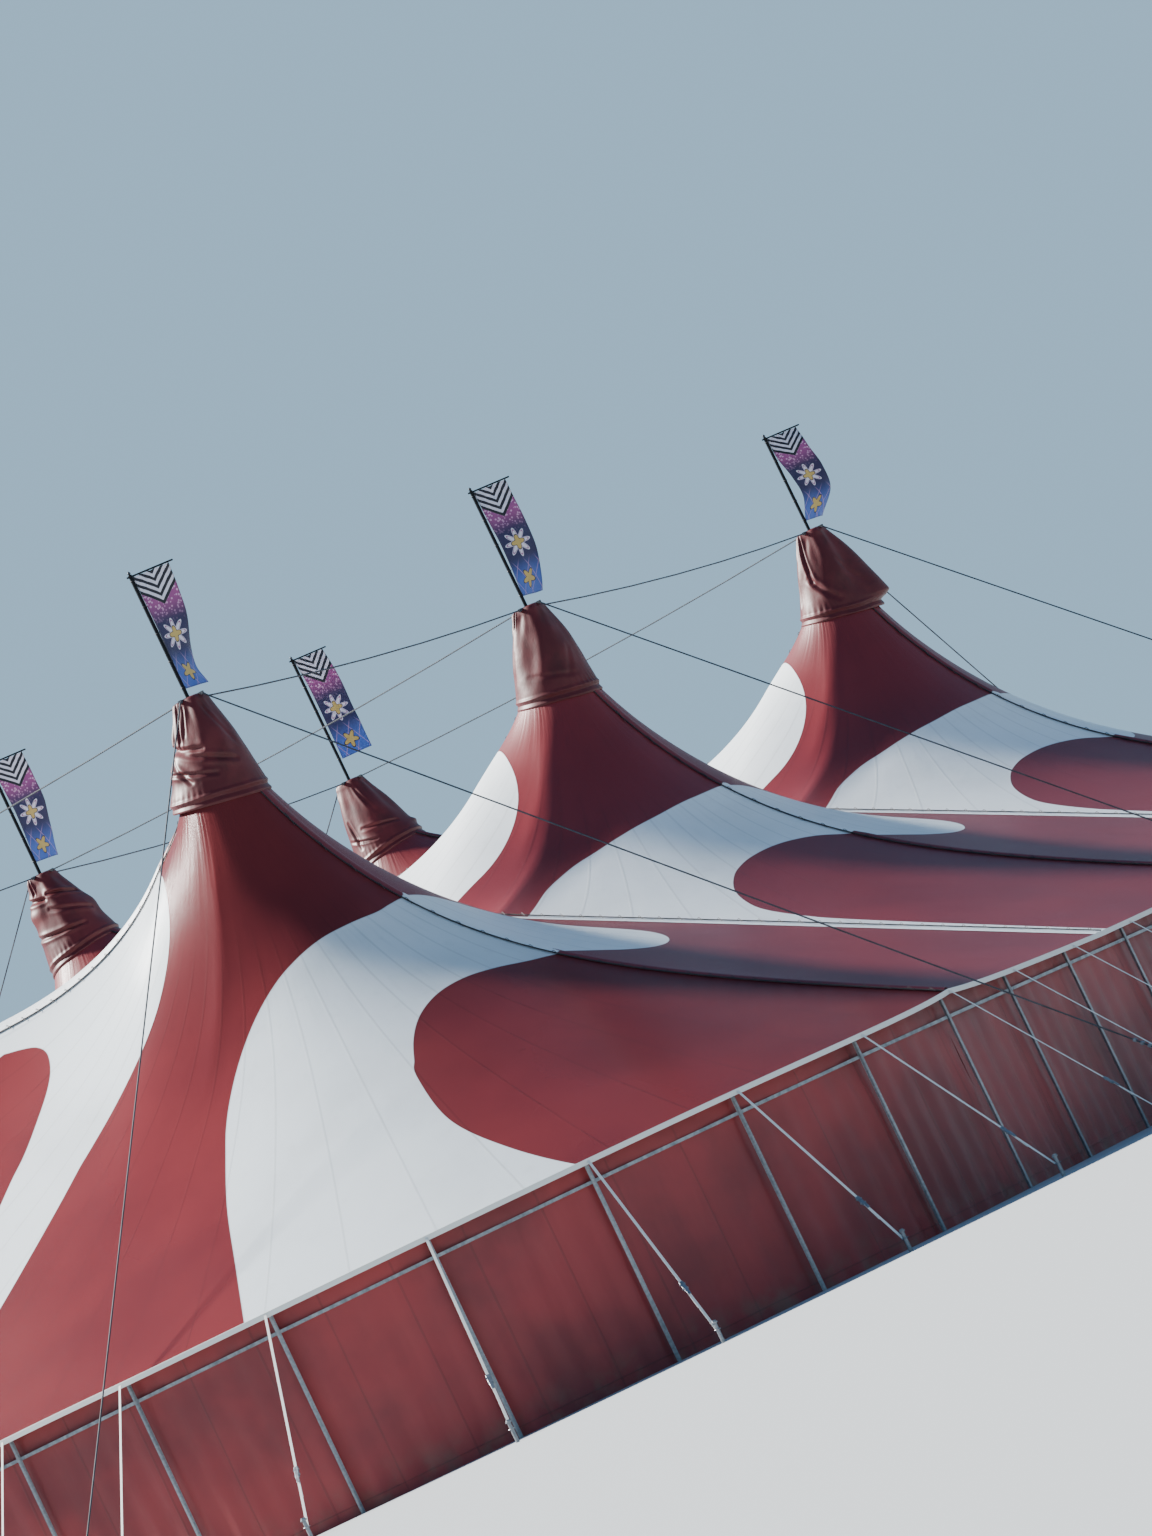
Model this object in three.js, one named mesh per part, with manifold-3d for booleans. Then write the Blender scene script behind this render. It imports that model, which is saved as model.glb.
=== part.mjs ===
// Six-mast circus big top, as a half-size model.
// Lengths are given in metres of the real tent and turned into model millimetres by M.
// +Z is up, X runs along the two rows of king masts, -Y is the entrance front.
// The origin is on the ground at the middle of the plan.

import * as THREE from "three";
import { mergeVertices } from "three/addons/utils/BufferGeometryUtils.js";
import Module from "manifold-3d";

const wasm = await Module();
wasm.setup();

// Scale
const MODEL_SCALE = 1 / 2;
const M = 1000 * MODEL_SCALE;
const GAP = 0.3 / M;
const WELD = 1e-3;
const TINY = 1e-9;
const QUARTER = Math.PI / 2;

// Plan
const BAY = 14;
const ROW_Y = 7;
const MAST_X = [-BAY, 0, BAY];
const HALF_BAY = BAY / 2;
const REACH = 12;
const SPAN = 2.8;
const CORNER_STEPS = 6;

// Roof surface
const VALLEY_Z = 9.45;
const PITCH = 0.475;
const PEAK_RISE = 6.6;
const PEAK_SPREAD = 2.2;
const PEAK_POWER = 0.85;
const SADDLE_RISE = 1.45;
const SADDLE_FULL_Y = 4.6;
const SADDLE_END_Y = 8;
const SADDLE_FADE = 3;
const CREST_RISE = 0.12;
const CREST_WIDTH = 1.6;
const MEMBRANE = 0.032;
const EAVE_Z = VALLEY_Z - PITCH * REACH;

// Where the roof sections are divided: across the tent from the long axis to the eave,
// from a ridge to a valley, and from a mast out to the eave
const BETWEEN_Y = [0, 1.4, 2.8, 4, 4.8, 5.5];
const BEYOND_Y = [8.2, 8.65, 9.4, 10.4, 11.8, 13.4, 15.2, 17.1];
const RING_ANGLES = [0, 1, 2, 3].map((k) => k * Math.PI / 6);
const ACROSS = [0, 0.06, 0.15, 0.28, 0.45, 0.7, 1];
const OUTWARD = [0, 0.03, 0.07, 0.13, 0.22, 0.34, 0.5, 0.67, 0.84, 1];

// Cupola ring, king mast and cap
const RING_R = 0.88;
const RING_Z = 13.4;
const RING_DEPTH = 0.14;
const RING_WALL = 0.09;
const RING_SHIFT = 0.24;
const RING_TILT = 0.2;
const RING_FADE = 2.2;
const RING_Y = ROW_Y - RING_SHIFT;
const MAST_R = 0.16;
const MAST_SIDES = 12;
const BASE_SIDE = 0.95;
const BASE_DEPTH = 0.08;
const HEAD_SIDE = 0.4;
const HEAD_DEPTH = 0.14;
const COLLAR_R = 0.24;
const COLLAR_BITE = 0.024;
const SPOKE_R = 0.035;
const CAP_TOP_Z = 15.38;
const CAP_SKIN = 0.035;
const HEAD_TOP_Z = CAP_TOP_Z - CAP_SKIN - GAP;
const CAP_SIDES = 12;

// Height, half width and squareness of the cap from its hem up to its flat top
const CAP_HEM_Z = 13.46;
const CAP_RINGS = [
  [CAP_HEM_Z, 0.935, 2],
  [13.66, 0.875, 2],
  [14.12, 0.69, 2.4],
  [14.74, 0.5, 3.2],
  [CAP_TOP_Z - 0.06, 0.345, 4],
  [CAP_TOP_Z, 0.29, 4],
];

// Flagpole and flag
const POLE_R = 0.04;
const GAFF_R = 0.018;
const GAFF_LENGTH = 0.93;
const GAFF_TAIL = 0.08;
const FLAG_WIDTH = 0.79;
const FLAG_SKIN = 0.016;
const FLAG_HEADING = -40;
const FLAG_ROWS = 12;
const FLAG_COLUMNS = 4;

// Mast-head cables and storm stays
const CABLE_R = 0.016;
const CABLE_SAG = 0.14;
const SHACKLE_R = 0.25;
const SHACKLE_DEPTH = 0.07;
const SHACKLE_ARM = 0.064;
const CABLE_START = 0.33;
const CABLE_SIDES = 6;
const CABLE_STEPS = 6;
const STAY_REACH = 16.35;
const STAY_TIE_Z = 0.3;
const STAY_STAKE_R = 0.05;
const STAKE_R = 0.035;
const STAKE_TOP_Z = 0.42;

// Side poles, guys and walls
const POST_LINE = 11.78;
const POST_R = 0.045;
const RAIL_Z = 3.5;
const RAIL_DEPTH = 0.06;
const WALL_LINE = 11.66;
const WALL_SKIN = 0.03;
const BELT_DEPTH = 0.1;
const BELT_SKIN = 0.02;
const GUY_REACH = 14.9;
const GUY_WIDTH = 0.05;
const GUY_TIE_Z = 0.25;
const ENTRANCE_HALF = SPAN;
const ENTRANCE_Z = 2.9;
const UNTRIMMED_TOP_Z = EAVE_Z + 1;

// The king masts, with the top of each flagpole and the height of its flag.
// At five even steps down, the flag turns by so many degrees from its gaff and stands so far off its pole.
const MASTS = [
  {
    name: "front_left", x: -BAY, y: -ROW_Y, poleTop: 18.1, drop: 2.4,
    turn: [0, 10, 24, 40, 37], off: [0, 0.01, 0.02, 0.02, 0],
  },
  {
    name: "front_middle", x: 0, y: -ROW_Y, poleTop: 18.2, drop: 2.45,
    turn: [0, 2, 4, 15, 36], off: [0, 0.02, 0.05, 0.04, 0.02],
  },
  {
    name: "front_right", x: BAY, y: -ROW_Y, poleTop: 17.85, drop: 2.1,
    turn: [0, -14, -4, 8, 34], off: [0, 0.02, 0.15, 0.21, 0],
  },
  {
    name: "back_left", x: -BAY, y: ROW_Y, poleTop: 18.1, drop: 2.4,
    turn: [0, 8, 20, 30, 26], off: [0, 0.02, 0.05, 0.04, 0],
  },
  {
    name: "back_middle", x: 0, y: ROW_Y, poleTop: 18.2, drop: 2.4,
    turn: [0, 4, 12, 24, 32], off: [0, 0.03, 0.06, 0.04, 0],
  },
  {
    name: "back_right", x: BAY, y: ROW_Y, poleTop: 18.7, drop: 2.65,
    turn: [0, -5, -2, -6, -8], off: [0, 0.05, 0.06, 0.05, 0.04],
  },
];

const PAINT = {
  red: [0x8f3a3c, 0.45, 0],
  capRed: [0x5e2d2b, 0.5, 0],
  wallRed: [0x7d2f31, 0.55, 0],
  steel: [0x8b9096, 0.45, 0.8],
  darkSteel: [0x2b2d30, 0.5, 0.6],
  flag: [0x2d2f66, 0.7, 0],
  webbing: [0xd8d6cf, 0.8, 0],
};

const tent = new THREE.Group();

function add(name, geometry, paint) {
  const [color, roughness, metalness] = paint;
  const material = new THREE.MeshStandardMaterial({ color, roughness, metalness });
  const mesh = new THREE.Mesh(geometry, material);
  mesh.name = name;
  tent.add(mesh);
}

// Booleans

function toSolid(geometry) {
  const bare = geometry.clone();
  bare.deleteAttribute("normal");
  bare.deleteAttribute("uv");
  const merged = mergeVertices(bare, WELD);
  return new wasm.Manifold(new wasm.Mesh({
    numProp: 3,
    vertProperties: new Float32Array(merged.attributes.position.array),
    triVerts: new Uint32Array(merged.index.array),
  }));
}

function toGeometry(solid) {
  const { numProp, vertProperties, triVerts } = solid.getMesh();
  const geometry = new THREE.BufferGeometry();
  const position = new Float32Array(triVerts.length * 3);
  triVerts.forEach((vertex, i) => {
    for (let k = 0; k < 3; k += 1) {
      position[3 * i + k] = vertProperties[vertex * numProp + k];
    }
  });
  geometry.setAttribute("position", new THREE.BufferAttribute(position, 3));
  return mergeVertices(geometry, WELD);
}

function joined(geometries) {
  return geometries.map(toSolid).reduce((whole, piece) => whole.add(piece));
}

// Basic shapes, all given in real metres

function place(x, y, z) {
  return new THREE.Vector3(x * M, y * M, z * M);
}

function rod(from, to, radius, sides) {
  const a = place(...from);
  const b = place(...to);
  const along = b.clone().sub(a);
  const geometry = new THREE.CylinderGeometry(radius * M, radius * M, along.length(), sides);
  const upright = new THREE.Vector3(0, 1, 0);
  const turn = new THREE.Quaternion().setFromUnitVectors(upright, along.normalize());
  geometry.applyQuaternion(turn);
  geometry.translate(...a.add(b).multiplyScalar(0.5).toArray());
  return geometry;
}

function block(width, depth, height, x, y, bottom) {
  const geometry = new THREE.BoxGeometry(width * M, depth * M, height * M);
  geometry.translate(x * M, y * M, (bottom + height / 2) * M);
  return geometry;
}

function outwards(geometry) {
  const p = geometry.attributes.position;
  const index = geometry.index.array;
  const corner = [0, 1, 2].map(() => new THREE.Vector3());
  let volume = 0;
  for (let i = 0; i < index.length; i += 3) {
    corner.forEach((c, k) => c.fromBufferAttribute(p, index[i + k]));
    volume += corner[0].dot(corner[1].clone().cross(corner[2]));
  }
  if (volume < 0) {
    for (let i = 0; i < index.length; i += 3) {
      [index[i + 1], index[i + 2]] = [index[i + 2], index[i + 1]];
    }
  }
  return geometry;
}

function geometryFrom(points, index) {
  const geometry = new THREE.BufferGeometry().setFromPoints(points);
  geometry.setIndex(index);
  return outwards(geometry);
}

// A sheet with thickness: two grids of points, closed round the edge.
function slab(upper, lower) {
  const rows = upper.length;
  const cols = upper[0].length;
  const points = [...upper.flat(), ...lower.flat()];
  const at = (side, i, j) => side * rows * cols + i * cols + j;
  const index = [];
  const quad = (a, b, c, d) => index.push(a, b, c, a, c, d);
  for (let i = 0; i < rows - 1; i += 1) {
    for (let j = 0; j < cols - 1; j += 1) {
      quad(at(0, i, j), at(0, i + 1, j), at(0, i + 1, j + 1), at(0, i, j + 1));
      quad(at(1, i, j), at(1, i, j + 1), at(1, i + 1, j + 1), at(1, i + 1, j));
    }
  }
  for (let i = 0; i < rows - 1; i += 1) {
    quad(at(0, i, 0), at(1, i, 0), at(1, i + 1, 0), at(0, i + 1, 0));
    quad(at(0, i + 1, cols - 1), at(1, i + 1, cols - 1), at(1, i, cols - 1), at(0, i, cols - 1));
  }
  for (let j = 0; j < cols - 1; j += 1) {
    quad(at(0, 0, j + 1), at(1, 0, j + 1), at(1, 0, j), at(0, 0, j));
    quad(at(0, rows - 1, j), at(1, rows - 1, j), at(1, rows - 1, j + 1), at(0, rows - 1, j + 1));
  }
  return geometryFrom(points, index);
}

// Rings of points joined in turn, the last one back to the first.
function ringSolid(rings) {
  const count = rings[0].length;
  const index = [];
  rings.forEach((ring, r) => {
    const next = (r + 1) % rings.length;
    for (let i = 0; i < count; i += 1) {
      const j = (i + 1) % count;
      index.push(r * count + i, r * count + j, next * count + j);
      index.push(r * count + i, next * count + j, next * count + i);
    }
  });
  return geometryFrom(rings.flat(), index);
}

// The roof's height at a point of the plan

const clamp = (value, low, high) => Math.min(Math.max(value, low), high);

function smooth(low, high, value) {
  const t = clamp((value - low) / (high - low), 0, 1);
  return t * t * (3 - 2 * t);
}

const peak = (distance) => PEAK_RISE * Math.exp(-((distance / PEAK_SPREAD) ** PEAK_POWER));

// The free form of the roof: valley height, fall to the eave, peaks, saddle and crest
function freeHeight(x, y) {
  const ridgeX = BAY * clamp(Math.round(x / BAY), -1, 1);
  const aside = Math.abs(x - ridgeX);
  const past = Math.max(Math.abs(x) - BAY, 0);
  const fall = Math.hypot(past, Math.max(Math.abs(y) - ROW_Y, 0));
  const near = Math.abs(y) - RING_Y;
  const far = Math.abs(y) + RING_Y;
  const valleyPart = peak(Math.hypot(HALF_BAY, near)) + peak(Math.hypot(HALF_BAY, far));
  const across = past > 0 ? Math.exp(-past / SADDLE_FADE) : 1 - (aside / HALF_BAY) ** 2;
  const saddle = SADDLE_RISE * (1 - smooth(SADDLE_FULL_Y, SADDLE_END_Y, Math.abs(y))) * across;
  const crest = CREST_RISE * (Math.exp(-aside / CREST_WIDTH) - Math.exp(-HALF_BAY / CREST_WIDTH));
  return VALLEY_Z - PITCH * fall + peak(Math.hypot(aside, near)) + peak(Math.hypot(aside, far))
    - valleyPart * (1 - smooth(0, HALF_BAY, past)) + saddle + crest;
}

// Each ring stands a little in from its mast, and is tilted up on the side of the tent's long axis.
const ringHeight = (y) => RING_Z + RING_TILT * (RING_Y - Math.abs(y));

// The free form is brought to the ring's edge by a correction that dies away from it.
function roofHeight(x, y) {
  const ridgeX = BAY * clamp(Math.round(x / BAY), -1, 1);
  const ringY = y < 0 ? -RING_Y : RING_Y;
  const reach = Math.hypot(x - ridgeX, y - ringY);
  const share = RING_R / Math.max(reach, TINY);
  const edgeX = ridgeX + (x - ridgeX) * share;
  const edgeY = ringY + (y - ringY) * share;
  const correction = ringHeight(edgeY) - freeHeight(edgeX, edgeY);
  return freeHeight(x, y) + correction * Math.exp((RING_R - Math.max(reach, RING_R)) / RING_FADE);
}

// Points of the plan at a distance out from the mast rectangle.
// The path runs round the tent anticlockwise from the middle of the front.

function outAlong(x, y, out) {
  const coreX = clamp(x, -BAY, BAY);
  const coreY = clamp(y, -ROW_Y, ROW_Y);
  const length = Math.hypot(x - coreX, y - coreY);
  return [coreX + (x - coreX) / length * out, coreY + (y - coreY) / length * out];
}

function corner(signX, signY, from, to) {
  const list = [];
  for (let k = 0; k <= CORNER_STEPS; k += 1) {
    const angle = THREE.MathUtils.lerp(from, to, k / CORNER_STEPS);
    list.push([signX * (BAY + REACH * Math.cos(angle)), signY * (ROW_Y + REACH * Math.sin(angle))]);
  }
  return list;
}

function straightX(from, to, y) {
  const count = Math.round(Math.abs(to - from) / SPAN);
  return Array.from({ length: count + 1 }, (_, k) => [from + (to - from) * k / count, y]);
}

const FRONT_EDGE = straightX(-BAY, BAY, -(ROW_Y + REACH));
const BACK_EDGE = straightX(BAY, -BAY, ROW_Y + REACH);

function endEdge(signX) {
  const count = Math.round(2 * ROW_Y / SPAN);
  const side = Array.from({ length: count - 1 }, (_, k) => [
    signX * (BAY + REACH),
    -ROW_Y + 2 * ROW_Y * (k + 1) / count,
  ]);
  return [...corner(signX, -1, QUARTER, 0), ...side, ...corner(signX, 1, 0, QUARTER)];
}

// Roof membrane: two end sections and four half bays, laced at ridges and valleys

function halfYStations() {
  const ringR = RING_R + GAP;
  const inner = RING_ANGLES.slice().reverse().map((a) => RING_Y - ringR * Math.sin(a));
  const outer = RING_ANGLES.slice(1).map((a) => RING_Y + ringR * Math.sin(a));
  return [...BETWEEN_Y, ...inner, ...outer, ...BEYOND_Y, ROW_Y + REACH];
}

function yStations() {
  const half = halfYStations();
  return [...half.slice(1).reverse().map((y) => -y), ...half];
}

function ringBulge(y) {
  const off = Math.abs(y) - RING_Y;
  const squared = (RING_R + GAP) ** 2 - off ** 2;
  return squared > TINY ? Math.sqrt(squared) : 0;
}

function sheetGrid(lines, lift) {
  return lines.map((line) => line.map(([x, y]) => place(x, y, roofHeight(x, y) + lift)));
}

function lineBetween(start, end, stops) {
  const { lerp } = THREE.MathUtils;
  return stops.map((t) => [lerp(start[0], end[0], t), lerp(start[1], end[1], t)]);
}

function halfBayLines(ridgeX, side, seam) {
  return yStations().map((y) => {
    const start = ridgeX + side * (ringBulge(y) || seam / 2);
    const end = ridgeX + side * (HALF_BAY - seam / 2);
    return lineBetween([start, y], [end, y], ACROSS);
  });
}

function endLines(signX, seam) {
  const ridge = signX * BAY;
  const straight = yStations().filter((y) => Math.abs(y) <= RING_Y + TINY).map((y) => {
    const start = ridge + signX * (ringBulge(y) || seam / 2);
    const endY = Math.abs(y) < RING_Y - TINY ? y : Math.sign(y) * ROW_Y;
    return lineBetween([start, y], [signX * (BAY + REACH), endY], OUTWARD);
  });
  const fan = (signY) => Array.from({ length: CORNER_STEPS }, (_, k) => {
    const angle = (k + 1) * QUARTER / CORNER_STEPS;
    const aside = k + 1 < CORNER_STEPS ? 0 : seam / 2;
    const at = (centreY, r) => [
      ridge + signX * (r * Math.cos(angle) + aside),
      signY * (centreY + r * Math.sin(angle)),
    ];
    return lineBetween(at(RING_Y, RING_R + GAP), at(ROW_Y, REACH), OUTWARD);
  });
  return [...fan(-1).reverse(), ...straight, ...fan(1)];
}

const ROOF = [
  ["roof_left_end", (seam) => endLines(-1, seam)],
  ["roof_left_bay", (seam) => halfBayLines(-BAY, 1, seam)],
  ["roof_middle_bay_left", (seam) => halfBayLines(0, -1, seam)],
  ["roof_middle_bay_right", (seam) => halfBayLines(0, 1, seam)],
  ["roof_right_bay", (seam) => halfBayLines(BAY, -1, seam)],
  ["roof_right_end", (seam) => endLines(1, seam)],
];

for (const [name, linesFor] of ROOF) {
  const lines = linesFor(GAP);
  add(name, slab(sheetGrid(lines, 0), sheetGrid(lines, -MEMBRANE)), PAINT.red);
}

// What stands under the roof is trimmed to just below the membrane, with the seams shut.
const ROOF_TRIM = ROOF.map(([, linesFor]) => toSolid(slab(
  sheetGrid(linesFor(-GAP), 1),
  sheetGrid(linesFor(-GAP), -MEMBRANE - GAP),
)));

function trimmed(solid) {
  return toGeometry(ROOF_TRIM.reduce((rest, cutter) => rest.subtract(cutter), solid));
}

// King masts, each with its base plate, head plate, flagpole and gaff

function heading(degrees) {
  const angle = THREE.MathUtils.degToRad(degrees);
  return [Math.cos(angle), Math.sin(angle)];
}

function kingMast({ x, y, poleTop }) {
  const gaffZ = poleTop - 2 * GAFF_R;
  const [ax, ay] = heading(FLAG_HEADING);
  return toGeometry(joined([
    block(BASE_SIDE, BASE_SIDE, BASE_DEPTH, x, y, 0),
    rod([x, y, BASE_DEPTH / 2], [x, y, HEAD_TOP_Z - HEAD_DEPTH / 2], MAST_R, MAST_SIDES),
    block(HEAD_SIDE, HEAD_SIDE, HEAD_DEPTH, x, y, HEAD_TOP_Z - HEAD_DEPTH),
    rod([x, y, HEAD_TOP_Z - HEAD_DEPTH / 2], [x, y, poleTop], POLE_R, 8),
    rod(
      [x - ax * GAFF_TAIL, y - ay * GAFF_TAIL, gaffZ],
      [x + ax * GAFF_LENGTH, y + ay * GAFF_LENGTH, gaffZ],
      GAFF_R,
      6,
    ),
  ]));
}

// Cupola rings: a hoop that the membrane hangs from, with spokes to a collar on the mast

function hoopShape(angles, outer, inner) {
  const ringPoints = (radius) => angles.map((a) => new THREE.Vector2(
    radius * M * Math.cos(a),
    radius * M * Math.sin(a),
  ));
  const shape = new THREE.Shape(ringPoints(outer));
  shape.holes.push(new THREE.Path(ringPoints(inner)));
  return shape;
}

// The end masts carry a fan of panels at the tent's corner, so their hoop has finer facets there.
function hoopAngles(x, y) {
  const list = [];
  for (let k = 0; k < 24; k += 1) {
    const angle = k * Math.PI / 12;
    const inFan = Math.cos(angle) * Math.sign(x) > TINY && Math.sin(angle) * Math.sign(y) > TINY;
    if (k % 2 === 0 || inFan) list.push(angle);
  }
  return list;
}

function hoop(angles, outer, inner, bottom, depth, x, y) {
  const geometry = new THREE.ExtrudeGeometry(hoopShape(angles, outer, inner), {
    depth: depth * M,
    bevelEnabled: false,
  });
  geometry.translate(x * M, y * M, bottom * M);
  return geometry;
}

const evenAngles = (count) => Array.from({ length: count }, (_, k) => k * 2 * Math.PI / count);

// Slopes a shape up towards the tent's long axis, as the ring's plane is.
function tilted(geometry, y) {
  const slope = -RING_TILT * Math.sign(y);
  const shear = new THREE.Matrix4().set(1, 0, 0, 0, 0, 1, 0, 0, 0, slope, 1, RING_TILT * RING_Y * M, 0, 0, 0, 1);
  return geometry.applyMatrix4(shear);
}

function cupolaRing(x, y) {
  const bottom = RING_Z - RING_DEPTH;
  const innerR = RING_R - RING_WALL;
  const bore = MAST_R + GAP / Math.cos(Math.PI / MAST_SIDES);
  const z = bottom + RING_DEPTH / 2;
  const ringY = y - Math.sign(y) * RING_SHIFT;
  const spokes = [45, 135, 225, 315].map((degrees) => {
    const [c, s] = heading(degrees);
    const at = (centreY, reach) => [x + c * reach, centreY + s * reach, z];
    return rod(at(y, COLLAR_R - COLLAR_BITE), at(ringY, RING_R - RING_WALL / 2), SPOKE_R, 4);
  });
  return tilted(toGeometry(joined([
    hoop(hoopAngles(x, y), RING_R, innerR, bottom, RING_DEPTH, x, ringY),
    hoop(evenAngles(MAST_SIDES), COLLAR_R, bore, bottom, RING_DEPTH, x, y),
    ...spokes,
  ])), y);
}

// Caps: a weather cover from the head plate down over the cupola ring, square at the top.
// Towards its hem it follows the ring's shift and tilt.

function capRing(x, y, z, half, power) {
  const ceilingZ = CAP_TOP_Z - CAP_SKIN;
  const share = Math.max((ceilingZ - z) / (ceilingZ - CAP_HEM_Z), 0);
  const inward = -Math.sign(y);
  return evenAngles(CAP_SIDES).map((a) => {
    const [c, s] = [Math.cos(a + QUARTER / 2), Math.sin(a + QUARTER / 2)];
    const radius = half / (Math.abs(c) ** power + Math.abs(s) ** power) ** (1 / power);
    const lift = RING_TILT * share * radius * s * inward;
    return place(x + radius * c, y + inward * RING_SHIFT * share + radius * s, z + lift);
  });
}

function cap(x, y) {
  const outer = CAP_RINGS.map(([z, half, power]) => capRing(x, y, z, half, power));
  const poleHole = (z) => capRing(x, y, z, (POLE_R + GAP) / Math.cos(Math.PI / CAP_SIDES), 2);
  const inner = CAP_RINGS.slice(0, -1).map(([z, half, power]) => capRing(x, y, z, half - CAP_SKIN, power));
  const [, topHalf, topPower] = CAP_RINGS.at(-1);
  const ceiling = capRing(x, y, CAP_TOP_Z - CAP_SKIN, topHalf - CAP_SKIN / 2, topPower);
  const hole = [poleHole(CAP_TOP_Z), poleHole(CAP_TOP_Z - CAP_SKIN)];
  return ringSolid([...outer, ...hole, ceiling, ...inner.reverse()]);
}

// Flags: each hangs from its gaff, turns about its pole on the way down and stands off it

const smoothThrough = (values) => new THREE.SplineCurve(values.map((value) => new THREE.Vector2(0, value)));

function flag({ x, y, poleTop, drop, turn, off }) {
  const topZ = poleTop - 3 * GAFF_R - GAP;
  const turns = smoothThrough(turn);
  const gaps = smoothThrough(off);
  const point = (down, along, side) => {
    const [ax, ay] = heading(FLAG_HEADING + turns.getPoint(down).y);
    const out = POLE_R + GAP + gaps.getPoint(down).y + along * FLAG_WIDTH;
    const skin = side * FLAG_SKIN / 2;
    return place(x + ax * out - ay * skin, y + ay * out + ax * skin, topZ - down * drop);
  };
  const row = (i, side) => Array.from(
    { length: FLAG_COLUMNS + 1 },
    (_, j) => point(i / FLAG_ROWS, j / FLAG_COLUMNS, side),
  );
  const face = (side) => Array.from({ length: FLAG_ROWS + 1 }, (_, i) => row(i, side));
  return slab(face(1), face(-1));
}

for (const mast of MASTS) {
  add(`king_mast_${mast.name}`, kingMast(mast), PAINT.steel);
  add(`cupola_ring_${mast.name}`, cupolaRing(mast.x, mast.y), PAINT.steel);
  add(`cap_${mast.name}`, cap(mast.x, mast.y), PAINT.capRed);
  add(`flag_${mast.name}`, flag(mast), PAINT.flag);
}

// Cables between mast heads and storm stays down to stakes, tied by shackle plates

const SHACKLE_Z = CAP_TOP_Z + GAP + SHACKLE_DEPTH / 2;

function headCable(from, to) {
  const heading = Math.atan2(to[1] - from[1], to[0] - from[0]);
  const ends = [[from, 1], [to, -1]].map(([[x, y], sign]) => place(
    x + sign * CABLE_START * Math.cos(heading),
    y + sign * CABLE_START * Math.sin(heading),
    SHACKLE_Z,
  ));
  const middle = ends[0].clone().add(ends[1]).multiplyScalar(0.5);
  middle.z -= 2 * CABLE_SAG * M;
  const section = new THREE.Shape(evenAngles(CABLE_SIDES).map((a) => new THREE.Vector2(
    CABLE_R * M * Math.cos(a),
    CABLE_R * M * Math.sin(a),
  )));
  return new THREE.ExtrudeGeometry(section, {
    steps: CABLE_STEPS,
    bevelEnabled: false,
    extrudePath: new THREE.QuadraticBezierCurve3(ends[0], middle, ends[1]),
  });
}

function stormStay([x, y], [ox, oy]) {
  const start = [x + ox * CABLE_START, y + oy * CABLE_START, SHACKLE_Z];
  const foot = [x + ox * STAY_REACH, y + oy * STAY_REACH];
  return [
    rod(start, [...foot, STAY_TIE_Z], CABLE_R, CABLE_SIDES),
    rod([...foot, 0], [...foot, STAKE_TOP_Z], STAY_STAKE_R, CABLE_SIDES),
  ];
}

// A shackle plate is a small disc round the flagpole, with a short arm from its flat for each cable or stay.
function shacklePlate(x, y) {
  const sides = 8;
  const angles = evenAngles(sides).map((a) => a + Math.PI / sides);
  const bore = (POLE_R + GAP) / Math.cos(Math.PI / sides);
  const bottom = SHACKLE_Z - SHACKLE_DEPTH / 2;
  const start = SHACKLE_R - 0.1;
  const length = CABLE_START + SHACKLE_ARM / 2 - start;
  const arms = [[1, 0], [-1, 0], [0, 1], [0, -1]].map(([ax, ay]) => block(
    ax === 0 ? SHACKLE_ARM : length,
    ay === 0 ? SHACKLE_ARM : length,
    SHACKLE_ARM,
    x + ax * (start + length / 2),
    y + ay * (start + length / 2),
    SHACKLE_Z - SHACKLE_ARM / 2,
  ));
  return [hoop(angles, SHACKLE_R, bore, bottom, SHACKLE_DEPTH, x, y), ...arms];
}

function mastHeadCables() {
  const plates = MASTS.flatMap(({ x, y }) => shacklePlate(x, y));
  const alongRows = [-ROW_Y, ROW_Y].flatMap((y) => [
    headCable([-BAY, y], [0, y]),
    headCable([0, y], [BAY, y]),
  ]);
  const acrossRows = MAST_X.map((x) => headCable([x, -ROW_Y], [x, ROW_Y]));
  const stays = MASTS.flatMap(({ x, y }) => [
    ...stormStay([x, y], [0, Math.sign(y)]),
    ...(x === 0 ? [] : stormStay([x, y], [Math.sign(x), 0])),
  ]);
  return toGeometry(joined([...plates, ...alongRows, ...acrossRows, ...stays]));
}

add("mast_head_cables", mastHeadCables(), PAINT.darkSteel);

// Side poles with the curtain rail that ties them, and guy webbings with their belt and stakes

function strip(path, innerLine, outerLine, bottom, height) {
  const points = (line, z) => path.map((p) => {
    const [x, y] = outAlong(...p, line);
    return place(x, y, z);
  });
  return slab(
    [points(innerLine, bottom + height), points(outerLine, bottom + height)],
    [points(innerLine, bottom), points(outerLine, bottom)],
  );
}

function shortened(path, length) {
  const list = path.map((p) => [...p]);
  const last = list.length - 1;
  list[0][0] -= Math.sign(list[0][0] - list[1][0]) * length;
  list[last][0] -= Math.sign(list[last][0] - list[last - 1][0]) * length;
  return list;
}

function sidePoles(path, skip, cut) {
  const posts = path.filter((p) => !skip(p)).map((p) => {
    const [x, y] = outAlong(...p, POST_LINE);
    return rod([x, y, 0], [x, y, UNTRIMMED_TOP_Z], POST_R, 6);
  });
  const railPath = shortened(path, cut);
  const rail = strip(railPath, WALL_LINE + GAP * 2, POST_LINE, RAIL_Z - RAIL_DEPTH, RAIL_DEPTH);
  return trimmed(joined([rail, ...posts]));
}

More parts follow.
